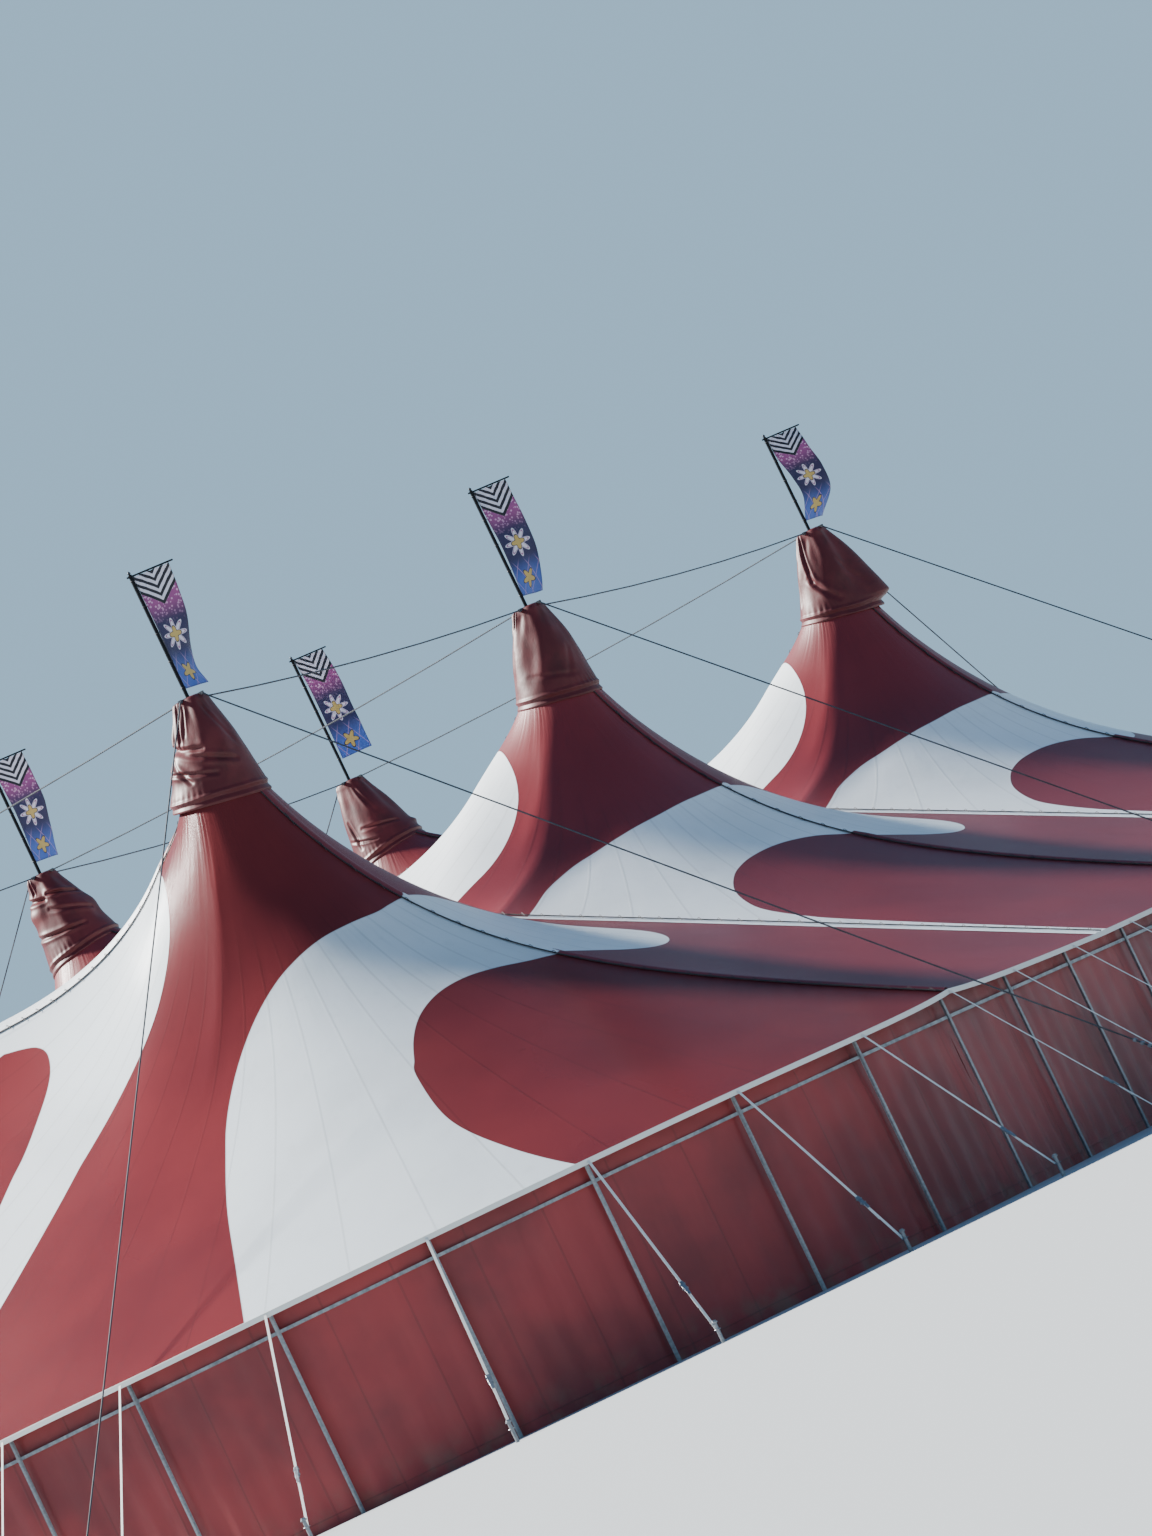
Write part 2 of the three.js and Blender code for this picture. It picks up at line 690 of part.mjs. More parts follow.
function guys(path, skip, cut) {
  const topZ = ([x, y]) => roofHeight(x, y) - MEMBRANE / 2;
  const beltLine = REACH + GAP * 2;
  const edge = (line, dz) => shortened(path, cut).map((p) => {
    const [x, y] = outAlong(...p, line);
    return place(x, y, topZ(p) + dz);
  });
  const belt = slab(
    [edge(beltLine, BELT_DEPTH / 2), edge(beltLine + BELT_SKIN, BELT_DEPTH / 2)],
    [edge(beltLine, -BELT_DEPTH / 2), edge(beltLine + BELT_SKIN, -BELT_DEPTH / 2)],
  );
  const straps = path.filter((p) => !skip(p)).flatMap((p) => {
    const [sx, sy] = outAlong(...p, beltLine + GUY_WIDTH / 2);
    const [ex, ey] = outAlong(...p, GUY_REACH);
    return [
      rod([sx, sy, topZ(p)], [ex, ey, GUY_TIE_Z], GUY_WIDTH / 2, 4),
      rod([ex, ey, 0], [ex, ey, STAKE_TOP_Z], STAKE_R, 4),
    ];
  });
  return toGeometry(joined([belt, ...straps]));
}

const atEntrance = ([x]) => Math.abs(x) < ENTRANCE_HALF - TINY;
const atJoin = ([x]) => Math.abs(x) < BAY + TINY;
const never = () => false;
const END_CUT = POST_R + GAP * 3;
const SIDES = [
  ["front", FRONT_EDGE, atEntrance, 0],
  ["back", BACK_EDGE, never, 0],
  ["left", endEdge(-1), atJoin, END_CUT],
  ["right", endEdge(1), atJoin, END_CUT],
];

for (const [name, path, skip, cut] of SIDES) {
  add(`side_poles_${name}`, sidePoles(path, skip, cut), PAINT.steel);
  add(`guys_${name}`, guys(path, skip, cut), PAINT.webbing);
}

// Side walls, hung inside the poles, with the entrance left open in the front

function wall(path, bottom) {
  const tall = UNTRIMMED_TOP_Z - bottom;
  return trimmed(toSolid(strip(path, WALL_LINE - WALL_SKIN, WALL_LINE, bottom, tall)));
}

const leftOfDoor = FRONT_EDGE.filter(([x]) => x <= -ENTRANCE_HALF + TINY);
const rightOfDoor = FRONT_EDGE.filter(([x]) => x >= ENTRANCE_HALF - TINY);
const overDoor = [
  [-ENTRANCE_HALF + GAP, -(ROW_Y + REACH)],
  [ENTRANCE_HALF - GAP, -(ROW_Y + REACH)],
];

add("wall_front_left", wall(shortened(leftOfDoor, GAP), 0), PAINT.wallRed);
add("wall_front_right", wall(shortened(rightOfDoor, GAP), 0), PAINT.wallRed);
add("wall_over_entrance", wall(overDoor, ENTRANCE_Z), PAINT.wallRed);
add("wall_back", wall(shortened(BACK_EDGE, GAP), 0), PAINT.wallRed);
add("wall_left_end", wall(endEdge(-1), 0), PAINT.wallRed);
add("wall_right_end", wall(endEdge(1), 0), PAINT.wallRed);

export default tent;
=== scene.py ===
import logging
import math
from collections.abc import Callable
from dataclasses import dataclass, field
from enum import Enum

import bpy
import numpy as np
from mathutils import Matrix, Vector


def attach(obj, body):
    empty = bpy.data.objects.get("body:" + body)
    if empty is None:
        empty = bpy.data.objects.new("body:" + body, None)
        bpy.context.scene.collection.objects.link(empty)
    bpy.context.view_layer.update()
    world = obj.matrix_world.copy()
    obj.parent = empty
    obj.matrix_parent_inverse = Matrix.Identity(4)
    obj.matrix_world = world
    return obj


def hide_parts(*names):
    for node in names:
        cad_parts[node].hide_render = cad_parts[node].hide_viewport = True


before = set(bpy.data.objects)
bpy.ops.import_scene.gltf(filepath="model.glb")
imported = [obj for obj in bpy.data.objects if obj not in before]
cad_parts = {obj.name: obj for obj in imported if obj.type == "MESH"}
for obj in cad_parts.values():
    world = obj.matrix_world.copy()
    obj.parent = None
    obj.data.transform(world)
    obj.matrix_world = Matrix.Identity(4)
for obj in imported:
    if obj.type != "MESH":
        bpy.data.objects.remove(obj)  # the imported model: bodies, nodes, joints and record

# Sizes are in metres of the real tent, as in the part's source. SCALE brings them to the half-size model.
SCALE = 0.5
GAP = 0.0006  # the hairline between pieces that meet
TINY = 1e-6  # less than any size here
TURN = 2 * math.pi
UP = (0.0, 0.0, 1.0)
STEEP = 0.96  # a path that climbs by more than this share of its length takes its side axis square to X
SHARP = math.radians(40)  # hard pieces are shaded as edged from this angle on

Array = np.ndarray
Point = tuple[float, float, float]
log = logging.getLogger("big_top")


class Hold(Enum):
    """How a sheet of cloth is held."""

    HUNG = "hung"
    STRETCHED = "stretched"


class Lobes(Enum):
    """How the red and white lobes run over a roof section."""

    ARM = "a long red arm runs from the mast to the valley"
    TIP = "a white lobe ends in a rounded tip before the valley"
    END = "the lobes run out to the eave at the end of the tent"


# Arrays


def smooth_step(low: float, high: float, value: Array) -> Array:
    """Rises from 0 at low to 1 at high as 3t² − 2t³.

    Args:
        low: Where the rise starts.
        high: Where it ends.
        value: Where it is taken.

    Returns:
        The share from 0 to 1.
    """
    t = np.clip((value - low) / (high - low), 0, 1)
    return t * t * (3 - 2 * t)


def spline(points: Array, per_span: int = 12) -> Array:
    """Passes one smooth curve through points: on each span, the Catmull-Rom cubic of the four points round it.

    Args:
        points: The points, one in each row.
        per_span: How many stations each span has.

    Returns:
        The stations along the curve, one in each row.
    """
    points = np.asarray(points, float)
    p = np.vstack([2 * points[0] - points[1], points, 2 * points[-1] - points[-2]])
    t = np.linspace(0, 1, per_span, endpoint=False)[:, None]
    a, b, c, d = p[:-3, None], p[1:-2, None], p[2:-1, None], p[3:, None]
    span = 0.5 * (2 * b + (c - a) * t + (2 * a - 5 * b + 4 * c - d) * t**2 + (3 * b - a - 3 * c + d) * t**3)
    return np.vstack([span.reshape(-1, points.shape[1]), points[-1:]])


def inside_distance(x: Array, y: Array, outline: Array) -> Array:
    """Gives the distance to the nearest edge of an outline, above 0 inside it and below 0 outside.

    Args:
        x: First coordinate of the points.
        y: Second coordinate of the points.
        outline: The outline's corners in order, one in each row.

    Returns:
        The signed distance of each point.
    """
    nearest = np.full(x.shape, np.inf)
    inside = np.zeros(x.shape, bool)
    for (ax, ay), (bx, by) in zip(outline, np.roll(outline, -1, axis=0)):
        ex, ey = bx - ax, by - ay
        along = np.clip(((x - ax) * ex + (y - ay) * ey) / max(ex * ex + ey * ey, 1e-12), 0, 1)
        nearest = np.minimum(nearest, np.hypot(x - ax - along * ex, y - ay - along * ey))
        if ay != by:
            inside ^= ((ay > y) != (by > y)) & (x < ex * (y - ay) / ey + ax)
    return np.where(inside, nearest, -nearest)


def waves(x: Array, y: Array, pitch: float, count: int, seed: int) -> Array:
    """Adds plane waves of many directions, with lengths round the pitch: smooth chance unevenness from −1 to 1.

    Args:
        x: First coordinate.
        y: Second coordinate.
        pitch: The usual length of a wave.
        count: How many waves are added.
        seed: Starts the draws, so that each run gives the same.

    Returns:
        Half the sum over the square root of half the count.
    """
    rng = np.random.default_rng(seed)
    total = np.zeros(np.broadcast(x, y).shape)
    for _ in range(count):
        angle, length, phase = rng.uniform(0, TURN), pitch * rng.uniform(0.6, 1.7), rng.uniform(0, TURN)
        total += np.sin((x * math.cos(angle) + y * math.sin(angle)) * TURN / length + phase)
    return total / math.sqrt(count / 2) * 0.5


# Surfaces


@dataclass
class Surface:
    """Points in real metres, with faces, a cut plan and numbers for the finish to read."""

    points: Array
    faces: list[Array]
    uv: Array | None = None
    numbers: dict[str, Array] = field(default_factory=dict)

    def corners(self) -> tuple[Array, Array, Array]:
        """Cuts the faces into triangles.

        Returns:
            The first, second and third corners of the triangles.
        """
        cut = [f[:, [0, k, k + 1]] for f in self.faces for k in range(1, f.shape[1] - 1)]
        index = np.concatenate(cut)
        return self.points[index[:, 0]], self.points[index[:, 1]], self.points[index[:, 2]]

    def facing(self, toward: Callable[[Array], Array] | Point | None = None) -> "Surface":
        """Turns the faces over where they look inwards.

        Args:
            toward: The way that an open surface looks, the same all over or as a function of place. A closed one
                has none, and its volume tells.

        Returns:
            The surface with its faces outwards.
        """
        a, b, c = self.corners()
        if toward is None:
            measure = (a * np.cross(b, c)).sum()
        else:
            way = toward((a + b + c) / 3) if callable(toward) else np.array(toward)
            measure = (np.cross(b - a, c - a) * way).sum()
        if measure < 0:
            self.faces = [f[:, ::-1] for f in self.faces]
        return self

    def area(self) -> float:
        """Gives the area of the surface in the model's square metres."""
        a, b, c = self.corners()
        return float(np.linalg.norm(np.cross(b - a, c - a), axis=1).sum() / 2) * SCALE**2


def together(surfaces: list[Surface]) -> Surface:
    """Puts surfaces into one, side by side and unjoined.

    Args:
        surfaces: The surfaces, all with the same kinds of numbers.

    Returns:
        One surface with all their faces.
    """
    starts = np.cumsum([0] + [len(s.points) for s in surfaces[:-1]])
    uv = None if surfaces[0].uv is None else np.concatenate([s.uv for s in surfaces])
    return Surface(
        np.concatenate([s.points for s in surfaces]),
        [f + start for s, start in zip(surfaces, starts) for f in s.faces],
        uv,
        {k: np.concatenate([s.numbers[k] for s in surfaces]) for k in surfaces[0].numbers},
    )


def grid_faces(rows: int, columns: int, round_about: bool = False) -> Array:
    """Lists the four-sided faces of a grid of points.

    Args:
        rows: How many rows of points there are.
        columns: How many points a row has.
        round_about: Whether each row's last point joins its first.

    Returns:
        The faces, four point numbers in each row.
    """
    index = np.arange(rows * columns).reshape(rows, columns)
    here = index if round_about else index[:, :-1]
    beside = np.roll(index, -1, axis=1) if round_about else index[:, 1:]
    faces = np.stack([here[:-1], beside[:-1], beside[1:], here[1:]], axis=-1)
    return faces.reshape(-1, 4)


def sweep(path: Array, section: Array, size: Array | float = 1.0) -> Surface:
    """Carries a section along a path: path(s) + size(s) (u · side + v · lift), closed at both ends by a flat face.

    The side axis is level and square to the path, or square to X where the path is steep.

    Args:
        path: The stations of the path.
        section: The section's corners (u, v), anticlockwise.
        size: A factor for the section, one for all or one for each station.

    Returns:
        The closed surface, with its cut plan as (share round the section, metres along).
    """
    path, section = np.asarray(path, float), np.asarray(section, float)
    tangent = np.gradient(path, axis=0)
    tangent /= np.linalg.norm(tangent, axis=1, keepdims=True)
    steep = np.abs(tangent[:, 2]).max() > STEEP
    side = np.cross(tangent, (1.0, 0.0, 0.0) if steep else UP)
    side /= np.linalg.norm(side, axis=1, keepdims=True)
    lift = np.cross(side, tangent)
    size = np.broadcast_to(np.asarray(size, float), len(path))[:, None, None]
    u, v = section[None, :, :1], section[None, :, 1:]
    points = path[:, None] + size * (u * side[:, None] + v * lift[:, None])
    rows, columns = len(path), len(section)
    ends = [np.arange(columns)[None, ::-1], np.arange(columns)[None] + (rows - 1) * columns]
    along = np.concatenate([[0], np.cumsum(np.linalg.norm(np.diff(path, axis=0), axis=1))])
    share = np.arange(columns) / columns
    uv = np.stack(np.broadcast_arrays(share[None], along[:, None] * SCALE), axis=-1)
    return Surface(points.reshape(-1, 3), [grid_faces(rows, columns, True), *ends], uv.reshape(-1, 2)).facing()


def disc(radius: float, sides: int) -> Array:
    """Gives the corners of a regular section of that radius."""
    angle = np.arange(sides) * TURN / sides
    return radius * np.stack([np.cos(angle), np.sin(angle)], axis=1)


def oblong(width: float, depth: float, bevel: float) -> Array:
    """Gives the eight corners of a rectangular section with its own corners cut off.

    Args:
        width: Its size along u.
        depth: Its size along v.
        bevel: How much is cut off each way.

    Returns:
        The corners (u, v), anticlockwise.
    """
    w, d = width / 2, depth / 2
    corners = [(w, -d + bevel), (w, d - bevel), (w - bevel, d), (-w + bevel, d)]
    return np.array(corners + [(-a, -b) for a, b in corners])


def rod(start: Point, end: Point, radius: float, sides: int) -> Surface:
    """Makes a straight round bar from start to end."""
    return sweep(np.linspace(start, end, 2), disc(radius, sides))


def piece(
    name: str,
    surface: Surface,
    finish: "Finish",
    replaces: tuple[str, ...] = (),
    thickness: float = 0.0,
) -> bpy.types.Object:
    """Makes an object of a surface, gives it its finish and lets it ride with the tent.

    Args:
        name: The piece's name.
        surface: Its surface in real metres.
        finish: Its finish.
        replaces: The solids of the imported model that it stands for.
        thickness: The cloth's thickness in the model's metres, laid on behind the surface.

    Returns:
        The object, at the origin.
    """
    mesh = bpy.data.meshes.new(name)
    loops = np.concatenate([f.ravel() for f in surface.faces]).astype(np.int32)
    totals = np.concatenate([np.full(len(f), f.shape[1]) for f in surface.faces]).astype(np.int32)
    mesh.vertices.add(len(surface.points))
    mesh.vertices.foreach_set("co", (surface.points * SCALE).astype(np.float32).ravel())
    mesh.loops.add(len(loops))
    mesh.loops.foreach_set("vertex_index", loops)
    mesh.polygons.add(len(totals))
    mesh.polygons.foreach_set("loop_start", np.concatenate([[0], np.cumsum(totals)[:-1]]).astype(np.int32))
    mesh.polygons.foreach_set("use_smooth", np.ones(len(totals), bool))
    mesh.update(calc_edges=True)
    for key, values in surface.numbers.items():
        mesh.attributes.new(key, "FLOAT", "POINT").data.foreach_set("value", values.astype(np.float32))
    if surface.uv is not None:
        layer = mesh.uv_layers.new(name="cut")
        layer.data.foreach_set("uv", surface.uv[loops].astype(np.float32).ravel())
    mesh.validate()
    if thickness:
        mark_rim(mesh)
    else:
        mesh.set_sharp_from_angle(angle=SHARP)
    obj = bpy.data.objects.new(name, mesh)
    bpy.context.collection.objects.link(obj)
    if thickness:
        solid = obj.modifiers.new("cloth", "SOLIDIFY")
        solid.thickness, solid.offset = thickness, -1.0
    mesh.materials.append(finish.material())
    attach(obj, "root")
    if replaces:
        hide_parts(*replaces)
    log.info("%s: %d faces", name, len(totals))
    return obj


def mark_rim(mesh: bpy.types.Mesh) -> None:
    """Marks the open edges of a sheet as sharp, so that its thickness doesn't shade its face.

    Args:
        mesh: The sheet's mesh. An edge is open where it bounds one face only.
    """
    of_loop = np.zeros(len(mesh.loops), np.int32)
    mesh.loops.foreach_get("edge_index", of_loop)
    open_edge = np.bincount(of_loop, minlength=len(mesh.edges)) == 1
    sharp = mesh.attributes.get("sharp_edge") or mesh.attributes.new("sharp_edge", "BOOLEAN", "EDGE")
    sharp.data.foreach_set("value", open_edge)


# Finishes

Value = bpy.types.NodeSocket | float
GRIME_AND_SHADE = (0.015, 0.012, 0.01, 1.0)  # the colour that soiled places and painted shade tend to


class Graph:
    """The nodes of one material, with a short call for each kind that the finishes use."""

    def __init__(self, name: str) -> None:
        """Starts a material of that name with one Principled shader."""
        self.made = bpy.data.materials.new(name)
        self.made.use_nodes = True
        self.tree = self.made.node_tree
        self.shader = self.tree.nodes["Principled BSDF"]

    def node(self, kind: str, outlet: int | str = 0, **inputs: Value) -> bpy.types.NodeSocket:
        """Adds a node.

        Args:
            kind: The node's kind, without the words ShaderNode.
            outlet: Which outlet is wanted.
            **inputs: Its settings in small letters, and its inlets by name with a capital, or as i0, i1 by number.

        Returns:
            The outlet.
        """
        made = self.tree.nodes.new(f"ShaderNode{kind}")
        plain = {k: v for k, v in inputs.items() if k[0].islower() and not (k[0] == "i" and k[1:].isdigit())}
        for key, value in plain.items():
            setattr(made, key, value)
        for key in inputs.keys() - plain.keys():
            inlet = made.inputs[int(key[1:])] if key[0] == "i" else made.inputs[key.replace("_", " ")]
            self.feed(inlet, inputs[key])
        return made.outputs[outlet]

    def feed(self, inlet: bpy.types.NodeSocket, value: Value | tuple) -> None:
        """Links an outlet to an inlet, or sets the inlet's own value.

        Args:
            inlet: The inlet.
            value: The outlet, number or colour that it takes.
        """
        if isinstance(value, bpy.types.NodeSocket):
            self.tree.links.new(value, inlet)
        else:
            inlet.default_value = value

    def math(self, operation: str, *values: Value) -> bpy.types.NodeSocket:
        """Works out one number from others."""
        return self.node("Math", operation=operation, **{f"i{k}": v for k, v in enumerate(values)})

    def number(self, name: str) -> bpy.types.NodeSocket:
        """Reads a number that the surface carries."""
        return self.node("Attribute", "Fac", attribute_name=name)

    def place(self) -> bpy.types.NodeSocket:
        """Reads the place on the piece, in the model's metres."""
        return self.node("TexCoord", "Object")

    def cut(self) -> tuple[bpy.types.NodeSocket, bpy.types.NodeSocket]:
        """Reads the place on the cut plan.

        Returns:
            Its two numbers, u and v.
        """
        parts = self.tree.nodes.new("ShaderNodeSeparateXYZ")
        self.tree.links.new(self.node("UVMap", uv_map="cut"), parts.inputs[0])
        return parts.outputs[0], parts.outputs[1]

    def axis(self, way: int) -> bpy.types.NodeSocket:
        """Reads one coordinate of the place on the piece."""
        return self.node("SeparateXYZ", way, Vector=self.place())

    def vector(self, x: Value, y: Value, z: Value = 0.0) -> bpy.types.NodeSocket:
        """Puts three numbers into one vector."""
        return self.node("CombineXYZ", X=x, Y=y, Z=z)

    def noise(self, where: bpy.types.NodeSocket, scale: float, detail: float = 3.0) -> bpy.types.NodeSocket:
        """Gives soft chance unevenness from 0 to 1."""
        return self.node("TexNoise", Vector=where, Scale=scale, Detail=detail)

    def between(self, value: Value, low: float, high: float) -> bpy.types.NodeSocket:
        """Rises smoothly from 0 at low to 1 at high, or falls where low is the greater.

        Args:
            value: The number that it follows.
            low: Where it is 0.
            high: Where it is 1.

        Returns:
            The share from 0 to 1.
        """
        ends = {"To_Min": 0.0, "To_Max": 1.0} if low < high else {"To_Min": 1.0, "To_Max": 0.0}
        low, high = min(low, high), max(low, high)
        return self.node("MapRange", interpolation_type="SMOOTHSTEP", Value=value, From_Min=low, From_Max=high, **ends)

    def spread(self, value: Value, low: float, high: float) -> bpy.types.NodeSocket:
        """Spreads a number from 0 to 1 over low to high."""
        return self.node("MapRange", Value=value, To_Min=low, To_Max=high)

    def off_whole(self, value: Value) -> bpy.types.NodeSocket:
        """Gives how far a number is from the nearest whole one."""
        return self.math("ABSOLUTE", self.math("SUBTRACT", value, self.math("ROUND", value)))

    def mix(self, share: Value, a: Value | tuple, b: Value | tuple) -> bpy.types.NodeSocket:
        """Mixes two colours.

        Args:
            share: How much of the second is taken.
            a: The first colour.
            b: The second colour.

        Returns:
            The colour between them.
        """
        made = self.tree.nodes.new("ShaderNodeMix")
        made.data_type = "RGBA"
        for key, value in (("Factor_Float", share), ("A_Color", a), ("B_Color", b)):
            self.feed(next(s for s in made.inputs if s.identifier == key), value)
        return next(s for s in made.outputs if s.identifier == "Result_Color")

    def shade(self, colour: Value, amount: Value, strength: float) -> bpy.types.NodeSocket:
        """Darkens a colour by up to the strength where the amount is 1."""
        return self.mix(self.math("MULTIPLY", amount, strength), colour, GRIME_AND_SHADE)

    def bump(self, height: Value, depth: float, under: bpy.types.NodeSocket | None = None) -> bpy.types.NodeSocket:
        """Raises the surface by the height times the depth.

        Args:
            height: The height from 0 to 1.
            depth: What a height of 1 is, in the model's metres.
            under: The normal of the bumps that lie under it.

        Returns:
            The new normal.
        """
        inputs = {"Height": height, "Distance": depth, "Strength": 1.0}
        if under is not None:
            inputs["Normal"] = under
        return self.node("Bump", **inputs)

    def finish(self, **sockets: Value | tuple) -> bpy.types.Material:
        """Sets the shader's own sockets.

        Args:
            **sockets: What each takes, by its name with low lines for spaces.

        Returns:
            The material.
        """
        for key, value in sockets.items():
            self.feed(self.shader.inputs[key.replace("_", " ")], value)
        return self.made


def srgb(red: int, green: int, blue: int) -> tuple[float, float, float, float]:
    """Turns a colour into the linear values that a shader takes, by the curve of the sRGB standard.

    Args:
        red: Its red from 0 to 255.
        green: Its green.
        blue: Its blue.

    Returns:
        Linear red, green and blue, and an alpha of 1.
    """
    values = [c / 255 for c in (red, green, blue)]
    linear = [c / 12.92 if c <= 0.04045 else ((c + 0.055) / 1.055) ** 2.4 for c in values]
    return (*linear, 1.0)


@dataclass(frozen=True)
class Finish:
    """A finish by name. Its material is made once and then shared."""

    name: str

    def build(self, g: Graph) -> bpy.types.Material:
        """Fills in the nodes, which each finish does in its own way.

        Args:
            g: The nodes to fill in.

        Returns:
            The material.
        """
        raise NotImplementedError

    def material(self) -> bpy.types.Material:
        """Gives the material, made at its first use."""
        return bpy.data.materials.get(self.name) or self.build(Graph(self.name))

    def dress(self, *nodes: str) -> None:
        """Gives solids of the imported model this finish, and leaves their meshes as they are.

        Args:
            *nodes: The solids' names.
        """
        for name in nodes:
            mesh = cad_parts[name].data
            mesh.materials.clear()
            mesh.materials.append(self.material())


@dataclass(frozen=True)
class TentCloth(Finish):
    """Coated tent cloth in red and white lobes, welded from tapering panels that fan out from the mast."""

    name: str = "tent_cloth"
    red: tuple = srgb(120, 37, 40)
    deep_red: tuple = srgb(106, 31, 35)
    white: tuple = srgb(228, 233, 235)
    rough: tuple = (0.38, 0.45)
    gloss: float = 0.38
    panel_angle: float = math.radians(8)
    seam_width: float = 0.016
    seam_shade: float = 0.13
    edge_shade: float = 0.12
    stain: float = 0.07
    pleats: float = 52.0
    pleat_depth: float = 0.006
    sag_depth: float = 0.012
    streak_depth: float = 0.002
    seam_depth: float = 0.0006
    weave_depth: float = 0.0003

    def build(self, g: Graph) -> bpy.types.Material:
        """Reads the numbers lobe, spoke and reach that the membrane's surfaces carry.

        A seam lies at each whole multiple of the panel's angle and an edge along the white. Streaks run down from
        the mast and pleats gather at its ring.

        Args:
            g: The nodes to fill in.

        Returns:
            The material.
        """
        lobe, spoke, reach = g.number("lobe"), g.number("spoke"), g.number("reach")
        place = g.place()
        fan = g.vector(g.math("MULTIPLY", spoke, 9.0), g.math("MULTIPLY", reach, 0.35))
        mottle = g.noise(place, 0.55)
        red = g.mix(g.between(mottle, 0.3, 0.72), self.red, self.deep_red)
        white = g.shade(self.white, g.between(g.noise(place, 0.8), 0.42, 0.75), 0.1)
        colour = g.mix(g.between(lobe, -0.003, 0.003), red, white)
        panel = g.math("DIVIDE", spoke, self.panel_angle)
        off = g.math("MULTIPLY", g.off_whole(panel), g.math("MULTIPLY", reach, self.panel_angle * SCALE))
        seam = g.math("MULTIPLY", g.between(off, self.seam_width, self.seam_width * 0.45), g.between(reach, 1.6, 3.4))
        edge = g.between(g.math("ABSOLUTE", lobe), 0.014, 0.004)
        colour = g.shade(colour, seam, self.seam_shade)
        colour = g.shade(colour, edge, self.edge_shade)
        streaks = g.math("MULTIPLY", g.between(g.noise(fan, 3.2), 0.5, 0.78), g.between(reach, 9.0, 0.9))
        colour = g.shade(colour, streaks, self.stain)
        colour = g.shade(colour, g.between(g.noise(place, 6.0, 5.0), 0.55, 0.85), self.stain)
        rough = g.spread(g.noise(place, 1.7), *self.rough)
        around = g.math("MULTIPLY", spoke, self.pleats / TURN)
        crease = g.noise(g.vector(around, g.math("MULTIPLY", reach, 0.25)), 1.7, 1.0)
        crease = g.math("MULTIPLY", crease, g.between(reach, 2.1, 0.8))
        weave = g.node("TexWave", "Fac", Vector=place, Scale=260.0, wave_type="BANDS", bands_direction="DIAGONAL")
        normal = g.bump(crease, self.pleat_depth)
        normal = g.bump(g.noise(place, 0.7, 1.0), self.sag_depth, normal)
        normal = g.bump(g.noise(fan, 0.8, 1.0), self.streak_depth, normal)
        normal = g.bump(g.math("ADD", seam, edge), self.seam_depth, normal)
        normal = g.bump(weave, self.weave_depth, normal)
        return g.finish(Base_Color=colour, Roughness=rough, Normal=normal, Specular_IOR_Level=self.gloss)


@dataclass(frozen=True)
class CapCloth(Finish):
    """Dark brownish red coated cloth, creased and shiny on its folds."""

    name: str = "cap_cloth"
    cloth: tuple = srgb(82, 27, 30)
    worn: tuple = srgb(96, 36, 38)
    crease_shade: float = 0.25
    crease_depth: float = 0.004
    grain_depth: float = 0.0012
    rough: tuple = (0.4, 0.52)
    gloss: float = 0.3

    def build(self, g: Graph) -> bpy.types.Material:
        """Lays small slanting creases, painted shade in their valleys and a fine grain over the cloth's colour.

        Args:
            g: The nodes to fill in.

        Returns:
            The material.
        """
        place = g.place()
        u, v = g.cut()
        slant = g.vector(g.math("MULTIPLY", u, 1.6), g.math("MULTIPLY", v, 0.7))
        crease = g.noise(slant, 5.0)
        colour = g.mix(g.between(g.noise(place, 3.5, 4.0), 0.42, 0.68), self.cloth, self.worn)
        # The crease valleys are darkened: painted shade.
        colour = g.shade(colour, g.between(crease, 0.48, 0.3), self.crease_shade)
        rough = g.spread(g.noise(place, 6.0), *self.rough)
        normal = g.bump(crease, self.crease_depth)
        normal = g.bump(g.noise(place, 16.0), self.grain_depth, normal)
        return g.finish(Base_Color=colour, Roughness=rough, Normal=normal, Specular_IOR_Level=self.gloss)


